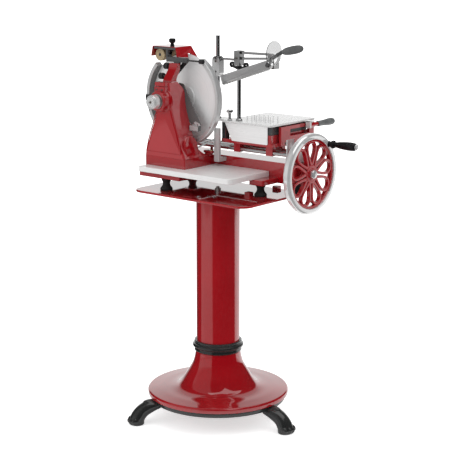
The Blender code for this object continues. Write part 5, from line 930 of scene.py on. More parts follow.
def paw_leg(heading):
    """A leg that comes out of the ring, bends over its knee and ends in a paw with four toes."""
    path = [
        (0.208, 0.066, 4, 0.029, 0.016),
        (0.234, 0.064, 14, 0.03, 0.02),
        (0.256, 0.057, 30, 0.029, 0.024),
        (0.2735, 0.048, 44, 0.0275, 0.025),
        (0.286, 0.0375, 56, 0.0275, 0.025),
        (0.294, 0.027, 70, 0.03, 0.026),
        (0.299, 0.0165, 84, 0.0305, 0.0265),
        (0.3, 0.007, 90, 0.031, 0.027),
        (0.3, 0.0012, 90, 0.0305, 0.0265),
        (0.3, 0.0, 90, 0.0295, 0.0255),
    ]
    stations = []
    for reach, height, dip, half_width, half_t in path:
        lean = math.radians(dip)
        over = (math.sin(lean), 0.0, math.cos(lean))
        stations.append(((reach, 0.0, height), (0, 1, 0), over, half_width, half_t))
    shells = [smoothed(limb(stations, 14))]
    for side, reach in ((-0.0225, 0.308), (-0.008, 0.315), (0.008, 0.315), (0.0225, 0.308)):
        shells.append(egg((reach, side, 0.013), (0.0165, 0.008, 0.013), 24))
        shells.append(egg((reach - 0.01, side * 0.92, 0.0245), (0.013, 0.007, 0.01), 20))
    shells.append(egg((0.248, 0.0, 0.0745), (0.028, 0.015, 0.0085), 24))
    leg = as_object("leg", gathered(*shells))
    added(leg, "one_skin", "REMESH", mode="VOXEL", voxel_size=0.0016)
    added(leg, "smoothing", "SMOOTH", factor=0.5, iterations=5)
    return turn(settled(leg), heading, "Z", (0, 0, 0))


def make_pedestal():
    shells = [paw_leg(math.tau * index / 3) for index in range(3)]
    ring = oblong(0.203, 0.066, 0.235, 0.0837)
    shells.append(turned(ring, (0, 0, 0), "Z", 96, soft=0.0045))
    hub = oblong(0.0065, 0.0615, 0.03, 0.0837)
    shells.append(turned(hub, (0, 0, 0), "Z", 48, soft=0.003))
    for index in range(3):
        arm = block((0.024, -0.012, 0.067), (0.208, 0.012, 0.079), 0.004)
        shells.append(turn(arm, math.tau * index / 3, "Z", (0, 0, 0)))
    fixed("legs_of_the_pedestal", gathered(*shells), black_casting, "pedestal_legs", "black_casting")

    outer = [(0.244, BELL_BOTTOM), (0.245, 0.0871), (0.245, 0.0977)]
    outer += flowing(
        [
            (0.2413, 0.1023), (0.2009, 0.1061), (0.1495, 0.1115), (0.1311, 0.1237), (0.1071, 0.1604),
            (0.088, 0.1932), (0.0816, 0.2153), (0.078, BELL_TOP),
        ],
        6,
    )
    inner = flowing(
        [(0.072, BELL_TOP), (0.0786, 0.2093), (0.085, 0.1872), (0.1041, 0.1544), (0.1281, 0.1177),
         (0.1465, 0.1055), (0.1979, 0.1001)],
        5,
    )
    bell = turned(outer + inner + [(0.203, BELL_BOTTOM)], (0, 0, 0), "Z", 112, soft=0.0014)
    fixed("bell_of_the_pedestal", bell, red_pedestal, "pedestal_bell", "red_enamel")

    rise = COLLAR_TOP - COLLAR_BOTTOM
    shares = [
        (0.0, 0.955), (0.05, 0.99), (0.1, 1.0), (0.34, 0.985), (0.4, 1.04), (0.47, 1.068), (0.54, 1.073),
        (0.61, 1.066), (0.68, 1.045), (0.76, 0.985), (0.87, 1.0), (0.96, 1.0), (1.0, 0.97),
    ]
    outer = swelling(shares, 0.0825, COLLAR_BOTTOM, rise, 4)
    inside = [
        (0.0753, COLLAR_TOP), (0.0753, COLUMN_BOTTOM - 0.0003), (0.06, COLUMN_BOTTOM - 0.0003),
        (0.06, COLLAR_BOTTOM)
    ]
    collar = turned(outer + inside, (0, 0, 0), "Z", 96, soft=0.0008)
    fixed("collar_of_the_column", collar, black_casting, "column_collar", "black_casting")

    wall = oblong(0.071, COLUMN_BOTTOM, 0.075, COLUMN_TOP)
    tube = turned(wall, (0, 0, 0), "Z", 112, soft=0.001)
    fixed("tube_of_the_column", tube, red_pedestal, "column_tube", "red_enamel")

    corners = oblong(-0.25, -0.1685, 0.25, 0.1685)
    plate = slab(corners, "Z", 0.792, PLATE_TOP, soft=0.045, rings=12)
    head = turned(oblong(0.0063, 0.78, 0.11, 0.793), (0, 0, 0), "Z", 96, soft=0.003)
    spigot = turned(oblong(0.062, 0.75, 0.0707, 0.781), (0, 0, 0), "Z", 64, soft=0.001)
    stops = []
    for y in (0.002, 0.154):
        stops.append(block((0.123, y - 0.011, PLATE_TOP - 0.001), (0.145, y + 0.011, 0.812), 0.0012))
    fixed(
        "plate_of_the_pedestal", gathered(plate, head, spigot, *stops), red_pedestal,
        "pedestal_plate", "red_enamel", bevel=0.0026, rings=4, angle=60,
    )
    places = [(0.021, -0.126, PLATE_TOP), (0.062, -0.092, PLATE_TOP)]
    screws("screws_of_the_plate", places, "Z", 1, 0.0062, 0.0036, chrome, "stand_and_frame", "steel")

    for name, x, y in (
        ("front_left", -0.147, -0.0985), ("front_right", 0.168, 0.022), ("back_left", -0.234, 0.137),
        ("back_right", 0.239, 0.137),
    ):
        shares = [(0.0, 1.0), (0.16, 1.0), (0.42, 0.66), (0.7, 0.6), (0.9, 0.78), (1.0, 0.78)]
        sides = swelling(shares, 0.021, 0.8003, 0.038, 5)
        foot = turned([(0.0, 0.8003)] + sides + [(0.0, 0.8383)], (x, y, 0), "Z", 48, soft=0.001)
        fixed("foot_" + name, foot, rubber, "rubber_foot_" + name, "rubber")


# Base, tray and what stands on the base


def make_base():
    outline = [
        (-0.262, -0.085), (-0.075, -0.085), (-0.075, 0.08), (0.27, 0.08), (0.27, 0.165), (-0.262, 0.165)
    ]
    body = slab(outline, "Z", BASE_BOTTOM, BASE_TOP, soft=[0.014, 0.006, 0.008, 0.012, 0.014, 0.014], rings=6)
    outline = [
        (-0.256, -0.079), (-0.081, -0.079), (-0.081, 0.086), (0.258, 0.086), (0.258, 0.159), (-0.256, 0.159)
    ]
    inside = slab(outline, "Z", BASE_BOTTOM - 0.01, 0.9026, soft=0.006, rings=3)
    opening = block((-0.246, -0.078, 0.89), (-0.091, 0.025, 0.92))
    spindle_bore = turned(oblong(0, 0.89, 0.0066, 0.92), (0.205, AXLE_Y, 0), "Z", 24)
    shell = melded(body, cut=[inside, opening, spindle_bore])
    ribs = melded(
        block((-0.092, -0.08, 0.854), (-0.081, 0.16, 0.903)),
        joined=[block((-0.257, y, 0.854), (-0.082, y + 0.011, 0.903)) for y in (-0.032, 0.058)],
        cut=[
            turned(oblong(0, -0.1, 0.0125, 0.17), (BLADE_X, 0, AXLE_Z), "Y", 24),
            turned(oblong(0, -0.3, 0.0115, 0.3), (0, AXLE_Y, AXLE_Z), "X", 24),
        ],
    )
    wall_bore = turned(oblong(0, 0.24, 0.0163, 0.29), (0, AXLE_Y, AXLE_Z), "X", 32)
    shell = melded(shell, cut=[wall_bore])
    shells = [shell, ribs]
    shells.append(block((-0.261, -0.112, BASE_BOTTOM), (-0.076, -0.082, 0.8571), 0.003))
    shells.append(block((0.14, -0.006, BASE_BOTTOM), (0.196, 0.083, 0.8571), 0.003))
    shells.append(block((-0.26, 0.114, BASE_BOTTOM), (-0.211, 0.163, 0.8446), 0.0015))
    shells.append(block((0.215, 0.114, BASE_BOTTOM), (0.264, 0.163, 0.8446), 0.0015))
    boss = [(0, 0.907), (0.016, 0.907), (0.0142, 0.91), (0.014, 0.9146), (0, 0.9146)]
    shells.append(turned(boss, (-0.088, LEVER_Y, 0), "Z", 40, soft=0.0008))
    stub = [(0, 0.907), (0.0075, 0.907), (0.005, 0.91), (0.005, 0.941), (0, 0.941)]
    shells.append(turned(stub, (-0.13, AXLE_Y, 0), "Z", 24, soft=0.0006))
    fixed(
        "base_of_the_machine", gathered(*shells), red_enamel,
        "base_casting", "red_enamel", bevel=0.002, rings=4, angle=55,
    )
    collar = [(0.0165, 0.269), (0.025, 0.269), (0.025, 0.2722), (0.0185, 0.2732), (0.0165, 0.2732)]
    fixed(
        "wheel_bearing_seat", turned(collar, (0, AXLE_Y, AXLE_Z), "X", 48, soft=0.0008),
        red_enamel, slot="red_enamel",
    )

    outline = [
        (-0.25, -0.13), (0.16, -0.13), (0.16, 0.0797), (-0.0747, 0.0797), (-0.0747, -0.0853), (-0.25, -0.0853)
    ]
    corners = [0.006, 0.02, 0.004, 0.003, 0.003, 0.003]
    sheet = slab(outline, "Z", 0.8574, 0.8754, soft=corners, rings=8)
    hollow = slab(
        [
            (-0.2475, -0.1275), (0.1575, -0.1275), (0.1575, 0.0772), (-0.0722, 0.0772), (-0.0722, -0.0878),
            (-0.2475, -0.0878)
        ],
        "Z", 0.85, 0.8724, soft=[0.004, 0.018, 0.002, 0.002, 0.002, 0.002], rings=6,
    )
    fixed(
        "slice_tray_sheet", melded(sheet, cut=[hollow]), tray_sheet,
        "slice_tray", "stainless", bevel=0.001, angle=55,
    )

    for name, y in (("front", FRONT_ROD_Y), ("back", BACK_ROD_Y)):
        rod = turned(oblong(0, -0.2557, 0.008, 0.2617), (0, y, ROD_Z), "X", 40, soft=0.0012)
        fixed("guide_rod_" + name + "_bar", rod, rod_steel, "guide_rod_" + name, "chrome")
    for side in ("left", "right"):
        fixed(
            "rod_end_" + side, copied("rod_support_" + side), satin_cast,
            "rod_support_" + side, "chrome", bevel=0.0012, angle=50,
        )
    heads = [screw_head((-0.256, y, 0.9225), "X", -1, 0.0042, 0.0022) for y in (FRONT_ROD_Y, BACK_ROD_Y)]
    heads.append(screw_head((0.262, BACK_ROD_Y, 0.9225), "X", 1, 0.0042, 0.0022))
    fixed("screws_of_the_rod_ends", gathered(*heads), dark_steel, slot="dark_steel")
    fixed(
        "post_of_the_guard", copied("guard_post"), guard_metal, "guard_post", "chrome", bevel=0.0035,
        angle=50,
    )

    lever = slab(around_two((-0.1, LEVER_Y), 0.009, (-0.076, LEVER_Y), 0.009, 12), "Z", 0.9149, 0.9229)
    piece(
        "slice_thickness_lever", lever, red_enamel, "thickness_lever", "thickness_lever", "red_enamel",
        bevel=0.0018, angle=55,
    )
    button = [(0, 0.922), (0.0052, 0.922), (0.0052, 0.924), (0.0036, 0.9252), (0, 0.9255)]
    piece(
        "thickness_lever_button", turned(button, (-0.0765, LEVER_Y, 0), "Z", 32, soft=0.0005), brass,
        "thickness_lever", slot="steel",
    )
    screws(
        "thickness_lever_screw", [(-0.0905, LEVER_Y, 0.9229)], "Z", 1, 0.0042, 0.0024, dark_steel,
        "thickness_lever", "dark_steel",
    )


# Tower and blade head


TOWER_HEIGHTS = (0.9089, 0.9255, 0.9455, 1.0003, 1.0503, 1.0902, 1.1302, 1.165)
TOWER_LEFT = (0.087, 0.084, 0.077, 0.057, 0.037, 0.033, 0.0287, 0.0244)
TOWER_RIGHT = (0.094, 0.086, 0.076, 0.058, 0.0404, 0.0306, 0.0273, 0.023)


def tower_outline(inset, count):
    right = flowing([(BLADE_X + w - inset, z) for w, z in zip(TOWER_RIGHT[:count], TOWER_HEIGHTS[:count])], 5)
    left = flowing([(BLADE_X - w + inset, z) for w, z in zip(TOWER_LEFT[:count], TOWER_HEIGHTS[:count])], 5)
    return right + left[::-1]


def make_tower():
    body = slab(tower_outline(0.0, 8), "Y", TOWER_FRONT, 0.035)
    front = []
    for edge in body.edges:
        one, two = [vert.co for vert in edge.verts]
        level = abs(one.z - TOWER_HEIGHTS[0]) < 0.0001 and abs(two.z - TOWER_HEIGHTS[0]) < 0.0001
        if abs(one.y - TOWER_FRONT) < 0.0001 and abs(two.y - TOWER_FRONT) < 0.0001 and not level:
            front.append(edge)
    softened(body, front, 0.009, 6, clamp=False)
    back = flowing(
        [
            (0.035, 0.9089), (0.011, 0.9255), (-0.003, 0.9455), (-0.005, 0.97), (-0.005, 1.05),
            (-0.005, 1.1302)
        ],
        5
    )
    back += flowing([(-0.016, 1.145), (-0.038, 1.1651)], 2)
    behind = slab(back + [(-0.038, 1.2), (0.08, 1.2), (0.08, 0.9), (0.035, 0.9)], "X", -0.4, 0.1)
    inside = slab(tower_outline(0.006, 6), "Y", -0.079, -0.011)
    hub = turned(
        [
            (0, -0.1145), (0.034, -0.1145), (0.034, -0.092), (0.0365, -0.0865), (0.042, -0.0842),
            (0.042, -0.08), (0, -0.08)
        ],
        (BLADE_X, 0, BLADE_Z), "Y", 72, soft=0.0025,
    )
    back_hub = turned(oblong(0, -0.035, 0.026, -0.006), (BLADE_X, 0, BLADE_Z), "Y", 48)
    bore = turned(oblong(0, -0.2, 0.0163, 0.2), (BLADE_X, 0, BLADE_Z), "Y", 40)
    tower = melded(melded(body, cut=[behind, inside]), joined=[hub, back_hub], cut=[bore])
    shells = [tower]
    shells.append(block((-0.1974, -0.101, 1.13), (-0.1514, -0.0825, 1.1515), 0.0022))
    shells.append(block((-0.1968, -0.1, 1.1525), (-0.152, -0.06, 1.166), 0.0022))
    fixed(
        "tower_of_the_blade", gathered(*shells), red_enamel,
        "tower_casting", "red_enamel", bevel=0.0018, rings=3, angle=58,
    )

    top = arc(0.0385, math.radians(-132), math.radians(-18), 14, BLADE_X, BLADE_Z)
    right = flowing(
        [(-0.1345, 1.08), (-0.124, 1.043), (-0.1085, 1.003), (-0.0965, 0.962), (-0.0935, 0.923)], 3
    )
    left = flowing([(-0.252, 0.923), (-0.242, 0.962), (-0.227, 1.003), (-0.211, 1.043), (-0.203, 1.064)], 3)
    outline = [*top, *right, *left]
    bead = band(outline, drawn_in(outline, 0.0026), "Y", TOWER_FRONT - 0.001, TOWER_FRONT + 0.001, 0.0008)
    fixed("bead_of_the_tower_panel", bead, red_enamel, slot="red_enamel")

    arch = [(-0.068, 0.9092), *arc(0.034, math.pi, 0.0, 18, -0.034, 0.95), (0.0, 0.9092)]
    swell = slab(arch, "X", -0.16, -0.09)
    for vert in swell.verts:
        if vert.co.x > -0.1:
            vert.co.x = -0.08 - 0.2 * (vert.co.z - 0.909)
    fixed(
        "swell_beside_the_tower", swell, red_enamel, slot="red_enamel", bevel=0.005, rings=5, angle=50,
    )

    places = [(BLADE_X - 0.015, -0.101, 1.141), (BLADE_X + 0.01, -0.101, 1.141)]
    screws(
        "screws_of_the_tower_block", places, "Y", -1, 0.0034, 0.0018, dark_steel, "stand_and_frame",
        "dark_steel",
    )


def about_the_blade(radius, y, angles):
    """Places at some angles about the blade's axis."""
    return [(BLADE_X + radius * math.cos(angle), y, BLADE_Z + radius * math.sin(angle)) for angle in angles]


def make_blade_head():
    centre = (BLADE_X, 0, BLADE_Z)
    face = [
        (0.1468, CUT_Y), (0.15, 0.0372), (0.141, 0.0345), (0.139, 0.0342), (0.102, 0.0336), (0.045, 0.029),
        (0.042, 0.026), (0.0103, 0.026), (0.0103, 0.03), (0.0103, CUT_Y),
    ]
    disc = turned(face, centre, "Y", 144, soft=0.0004, rings=2)
    piece("round_blade", disc, blade_steel, "blade", "blade", "chrome")
    places = about_the_blade(0.031, CUT_Y, [math.tau * index / 4 + 0.4 for index in range(4)])
    screws("screws_of_the_blade", places, "Y", 1, 0.0036, 0.0014, chrome, "blade", "steel")

    knob = [
        (0, -0.1475), (0.005, -0.1475), (0.0062, -0.1499), (0.016, -0.1499), (0.0205, -0.147),
        (0.0235, -0.143), (0.0235, -0.1237), (0.0188, -0.1195), (0.01175, -0.118), (0.01175, -0.1154),
        (0, -0.1154),
    ]
    piece(
        "axle_end_knob", turned(knob, centre, "Y", 80, soft=0.0012), knob_metal, "blade", "axle_knob",
        "chrome"
    )
    place = (BLADE_X, -0.1475, BLADE_Z)
    screws("axle_end_screw", [place], "Y", -1, 0.0042, 0.002, dark_steel, "blade", "dark_steel")
    washer = oblong(0.012, -0.1153, 0.025, -0.1147)
    fixed("axle_washer", turned(washer, centre, "Y", 48), dark_steel, slot="dark_steel")

    section = oblong(0.1515, 0.0085, 0.165, 0.0335)
    ring = turned(
        section, centre, "Y", 130, soft=[0.0015, 0.0035, 0.003, 0.0012], rings=4,
        sweep=math.radians(282), start=math.radians(-58),
    )
    fixed("ring_round_the_blade", ring, ring_metal, "guard_ring", "chrome", bevel=0.001, angle=60)
    # A dark-grey sheet over the left of the ring's inner face: painted shade where that face lies in shadow
    wall = turned(
        oblong(0.1508, 0.0105, 0.1524, 0.039), centre, "Y", 60, soft=0.0003,
        sweep=math.radians(87), start=math.radians(136.5),
    )
    fixed("painted_shade_inside_the_ring", wall, painted_shade_grey, slot="dark_steel")
    brackets = []
    for x, y, z in about_the_blade(RING_MIDDLE, 0.0, [math.radians(255), math.radians(285)]):
        brackets.append(
            block((x - 0.005, y - 0.0047, z - 0.0025), (x + 0.005, y + 0.0125, z + 0.0025), 0.0006)
        )
    fixed("brackets_of_the_ring", gathered(*brackets), satin_cast, slot="steel")
    clip = block((-0.3362, 0.0045, 1.083), (-0.3215, 0.01, 1.103), 0.0012)
    fixed("clip_on_the_ring", clip, black_plastic, slot="black_grip")
    places = about_the_blade(RING_MIDDLE, 0.0085, [math.radians(angle) for angle in (200, 325, 50)])
    screws("screws_of_the_ring", places, "Y", -1, 0.0034, 0.0014, chrome, "stand_and_frame", "steel")

    # The deflector is a real plate; its dark grey is painted shade
    fixed(
        "slice_deflector_sheet", copied("slice_deflector"), painted_shade_grey,
        "slice_deflector", "dark_steel", bevel=0.0006, angle=50,
    )
    tab = block((-0.1125, -0.0181, 0.9984), (-0.0735, -0.005, 1.0163), 0.002)
    rest = slab(
        [(-0.112, 1.015), (-0.074, 1.015), (-0.0745, 1.023), (-0.096, 1.03)], "Y", -0.0062, -0.0048,
        soft=0.001
    )
    fixed("foot_of_the_deflector", gathered(tab, rest), guard_metal, slot="chrome")
    places = [(-0.101, -0.0062, 1.0215), (-0.084, -0.0062, 1.019)]
    screws("screws_of_the_deflector", places, "Y", -1, 0.0034, 0.0016, chrome, "stand_and_frame", "steel")


# Flywheel and crank


def petal_loop(radii, half_width, inner, outer, middle):
    spread = []
    for radius in radii:
        share = max(0.0, min(1.0, (radius - inner) / (outer - inner)))
        width = half_width * 1.48 * share**0.9 * math.sqrt(max(0.0, 1.0 - share**5))
        spread.append(width / radius)
    loop = [(r, middle + s) for r, s in zip(radii, spread)]
    loop += [(r, middle - s) for r, s in reversed(list(zip(radii[1:-1], spread[1:-1])))]
    return [(AXLE_Y + r * math.cos(a), AXLE_Z + r * math.sin(a)) for r, a in loop]


def make_flywheel():
    centre = (0, AXLE_Y, AXLE_Z)
    rim = oblong(0.117, WHEEL_X - 0.013, 0.137, WHEEL_X + 0.013)
    rim = turned(rim, centre, "X", 160, soft=[0.002, 0.009, 0.009, 0.002], rings=8)
    piece("rim_of_the_flywheel", rim, rim_chrome, "flywheel", slot="chrome")

    shells = []
    felloe = oblong(0.1085, WHEEL_X - 0.008, 0.118, WHEEL_X + 0.008)
    shells.append(turned(felloe, centre, "X", 128, soft=[0.0022, 0.0004, 0.0004, 0.0022]))
    steps = 22
    shares = [0.5 - 0.5 * math.cos(math.pi * step / steps) for step in range(steps + 1)]
    for index in range(SPOKES):
        middle = math.tau / SPOKES * index + math.tau / 36
        outside = petal_loop([0.015 + 0.09725 * share for share in shares], 0.027, 0.015, 0.11225, middle)
        inside = petal_loop([0.038 + 0.066 * share for share in shares], 0.0182, 0.038, 0.104, middle)
        shells.append(band(outside, inside, "X", WHEEL_X - 0.007, WHEEL_X + 0.007, 0.0017))
    disc = oblong(0.01, WHEEL_X - 0.0078, 0.031, WHEEL_X + 0.0078)
    shells.append(turned(disc, centre, "X", 72, soft=0.002))
    barrel = [
        (0.0083, 0.2745), (0.0205, 0.2745), (0.021, 0.29), (0.021, 0.305), (0.019, 0.311), (0.0083, 0.311),
    ]
    shells.append(turned(barrel, centre, "X", 64, soft=0.0015))
    piece("spokes_of_the_flywheel", gathered(*shells), red_enamel, "flywheel", "flywheel", "red_enamel")

    cap = [(0, 0.311), (0.0145, 0.311), (0.0145, 0.317), (0.012, 0.3205), (0.006, 0.3219), (0, 0.3222)]
    piece(
        "cap_of_the_wheel_shaft", turned(cap, centre, "X", 56, soft=0.0012), satin_cast, "flywheel",
        slot="chrome"
    )

    grip_centre = (0, CRANK_Y, CRANK_Z)
    pin = [
        (0, 0.3125), (0.004, 0.3125), (0.004, 0.4218), (0.0094, 0.4218), (0.0094, 0.425), (0.007, 0.4276),
        (0, 0.4276),
    ]
    piece(
        "pin_of_the_crank", turned(pin, grip_centre, "X", 40, soft=0.001), satin_cast, "flywheel",
        "crank_pin", "chrome"
    )
    collar = [
        (0.0038, 0.3105), (0.0105, 0.3105), (0.0105, 0.313), (0.0092, 0.316), (0.0092, 0.3213),
        (0.0038, 0.3213)
    ]
    piece(
        "collar_of_the_crank", turned(collar, grip_centre, "X", 40, soft=0.0008), black_plastic,
        "flywheel", slot="black_grip",
    )
    shares = [
        (0.0, 0.6), (0.04, 0.9), (0.12, 0.9), (0.16, 0.62), (0.35, 0.8), (0.7, 1.0), (0.94, 0.92), (1.0, 0.66)
    ]
    outer = swelling(shares, 0.0145, 0.3216, 0.1, 6)
    grip = turned(outer + [(0.0045, 0.4216), (0.0045, 0.3216)], grip_centre, "X", 56, soft=0.0006)
    piece("grip_of_the_crank", grip, black_plastic, "crank_grip", "crank_grip", "black_grip")


# Carriage and table


def make_carriage():
    piece(
        "saddle_of_the_carriage", copied("carriage_saddle"), red_enamel, "carriage",
        "carriage_saddle", "red_enamel", bevel=0.0014, angle=50,
    )
    bumper = block((-0.0366, 0.0642, 0.969), (-0.0186, 0.0852, 1.0272), 0.0022)
    piece("bumper_of_the_carriage", bumper, black_plastic, "carriage", slot="black_grip")
    outline = [(0.011, 0.966), (0.165, 0.966), (0.165, 1.0274), (-0.02, 1.0274)]
    panel = slab(outline, "Y", 0.0605, 0.0635, soft=[0.003, 0.004, 0.004, 0.003])
    piece(
        "front_panel_sheet", panel, panel_sheet, "carriage", "front_panel", "stainless", bevel=0.0007,
        angle=50,
    )
    places = [(0.193, 0.125, 0.968), (0.193, 0.265, 0.968)]
    screws("screws_of_the_side_frame", places, "X", 1, 0.004, 0.0022, dark_steel, "carriage", "dark_steel")

    thread = [(0, 0.0648), (0.0062, 0.0648), (0.0062, 0.0765)]
    for index in range(46):
        y = 0.0775 + 0.004 * index
        thread += [(0.007, y), (0.007, y + 0.0012), (0.0058, y + 0.0022), (0.0058, y + 0.003)]
    thread += [(0.0062, 0.264), (0.0062, 0.2762), (0, 0.2762)]
    screw = turned(thread, (0.09, 0, 0.998), "Y", 32)
    wheel = toothed_wheel((0.09, 0.998), 0.016, 0.0139, 24, "Y", 0.2762, 0.282)
    piece("screw_of_the_feed", gathered(screw, wheel), drive_steel, "feed_screw", "feed_screw", "steel")

    outline = [
        (-0.025, 0.052), (0.187, 0.052), (0.187, 0.305), (-0.025, 0.305), (-0.025, 0.12), (-0.092, 0.12),
        (-0.092, 0.066), (-0.025, 0.066),
    ]
    corners = [0.004, 0.008, 0.012, 0.012, 0.006, 0.01, 0.01, 0.003]
    shells = [slab(outline, "Z", 1.028, TABLE_TOP, soft=corners, rings=6)]
    # The rails take the sharpener's dark paint: painted shade where they lie in the shadow under the table
    rails = [block((x, 0.0658, 0.9983), (x + 0.028, 0.265, 1.0282), 0.0015) for x in (0.0, 0.148)]
    rails.append(block((0.0795, 0.08, 0.9875), (0.1005, 0.105, 1.0282), 0.0015))
    piece("rails_of_the_meat_table", gathered(*rails), dark_paint, "meat_table", slot="dark_steel")
    shells.append(block((0.196, 0.232, 1.008), (0.2155, 0.24, 1.0335), 0.0015))
    shells.append(block((0.185, 0.232, 1.0285), (0.2155, 0.256, 1.033), 0.0012))
    piece(
        "plate_of_the_meat_table", gathered(*shells), table_sheet, "meat_table", "meat_table", "stainless",
        bevel=0.0014, angle=60,
    )
    spikes = []
    for row in range(2):
        for index in range(6):
            spike = bmesh.new()
            bmesh.ops.create_cone(
                spike, cap_ends=True, segments=14, radius1=0.0018, radius2=0.0003, depth=0.021
            )
            place = (0.045 + 0.02 * index + 0.01 * row, 0.102 + 0.028 * row, TABLE_TOP + 0.0095)
            bmesh.ops.translate(spike, vec=place, verts=spike.verts[:])
            spikes.append(spike)
    piece("spikes_of_the_meat_table", gathered(*spikes), chrome, "meat_table", slot="steel")

    for name, x, top in (("tall", TALL_POST_X, 1.3188), ("short", SHORT_POST_X, 1.27)):
        sides = [(0, POST_FOOT), (0.012, POST_FOOT), (0.012, 1.038)]
        sides += flowing([(0.01, 1.04), (0.0078, 1.0425), (0.007, 1.0475)], 4)
        post = turned([*sides, (0.007, top), (0, top)], (x, PRESS_POST_Y, 0), "Z", 40, soft=0.0014)
        piece("press_post_" + name + "_bar", post, post_steel, "meat_table", "press_post_" + name, "chrome")

    shares = [
        (0.0, 0.78), (0.05, 0.8), (0.08, 0.76), (0.14, 0.45), (0.4, 0.46), (0.66, 0.52), (0.7, 0.7),
        (0.76, 1.0), (0.9, 1.0), (0.97, 0.86), (1.0, 0.72),
    ]
    sides = swelling(shares, 0.0115, POST_FOOT, 0.037, 4)
    knob = turned([(0, POST_FOOT), *sides, (0, POST_FOOT + 0.037)], (0.0, 0.063, 0), "Z", 48, soft=0.0006)
    piece("knob_of_the_table", knob, chrome, "table_knob", "table_knob", "chrome")

    centre = (0.2055, 0, 1.0175)
    shares = [(0.0, 0.96), (0.03, 1.0), (0.52, 1.0), (0.6, 0.78), (0.66, 0.75), (0.94, 0.75), (1.0, 0.72)]
    boss = swelling(shares, 0.0095, 0.2403, 0.046, 4)
    piece(
        "boss_of_the_table_handle", turned([(0, 0.2403), *boss, (0, 0.2863)], centre, "Y", 48, soft=0.0006),
        red_enamel, "table_handle", slot="red_enamel",
    )
    shares = [
        (0.0, 0.75), (0.03, 0.8), (0.2, 0.78), (0.4, 0.82), (0.6, 0.93), (0.8, 1.0), (0.95, 0.86),
        (0.99, 0.6), (1.0, 0.5)
    ]
    grip = swelling(shares, 0.0125, 0.2863, 0.094, 5)
    piece(
        "grip_of_the_table_handle", turned([(0, 0.2863), *grip, (0, 0.3803)], centre, "Y", 48, soft=0.0006),
        table_grip_plastic, "table_handle", "table_handle", "black_grip",
    )


def toothed_wheel(centre, tip, root, teeth, axis, low, high):
    """A flat wheel with slanted teeth."""
    outline = []
    for index in range(teeth):
        for share, radius in ((0.0, tip), (0.15, tip), (0.3, root), (0.8, root)):
            angle = math.tau * (index + share) / teeth
            outline.append((centre[0] + radius * math.cos(angle), centre[1] + radius * math.sin(angle)))
    return slab(outline, axis, low, high)


# Meat press


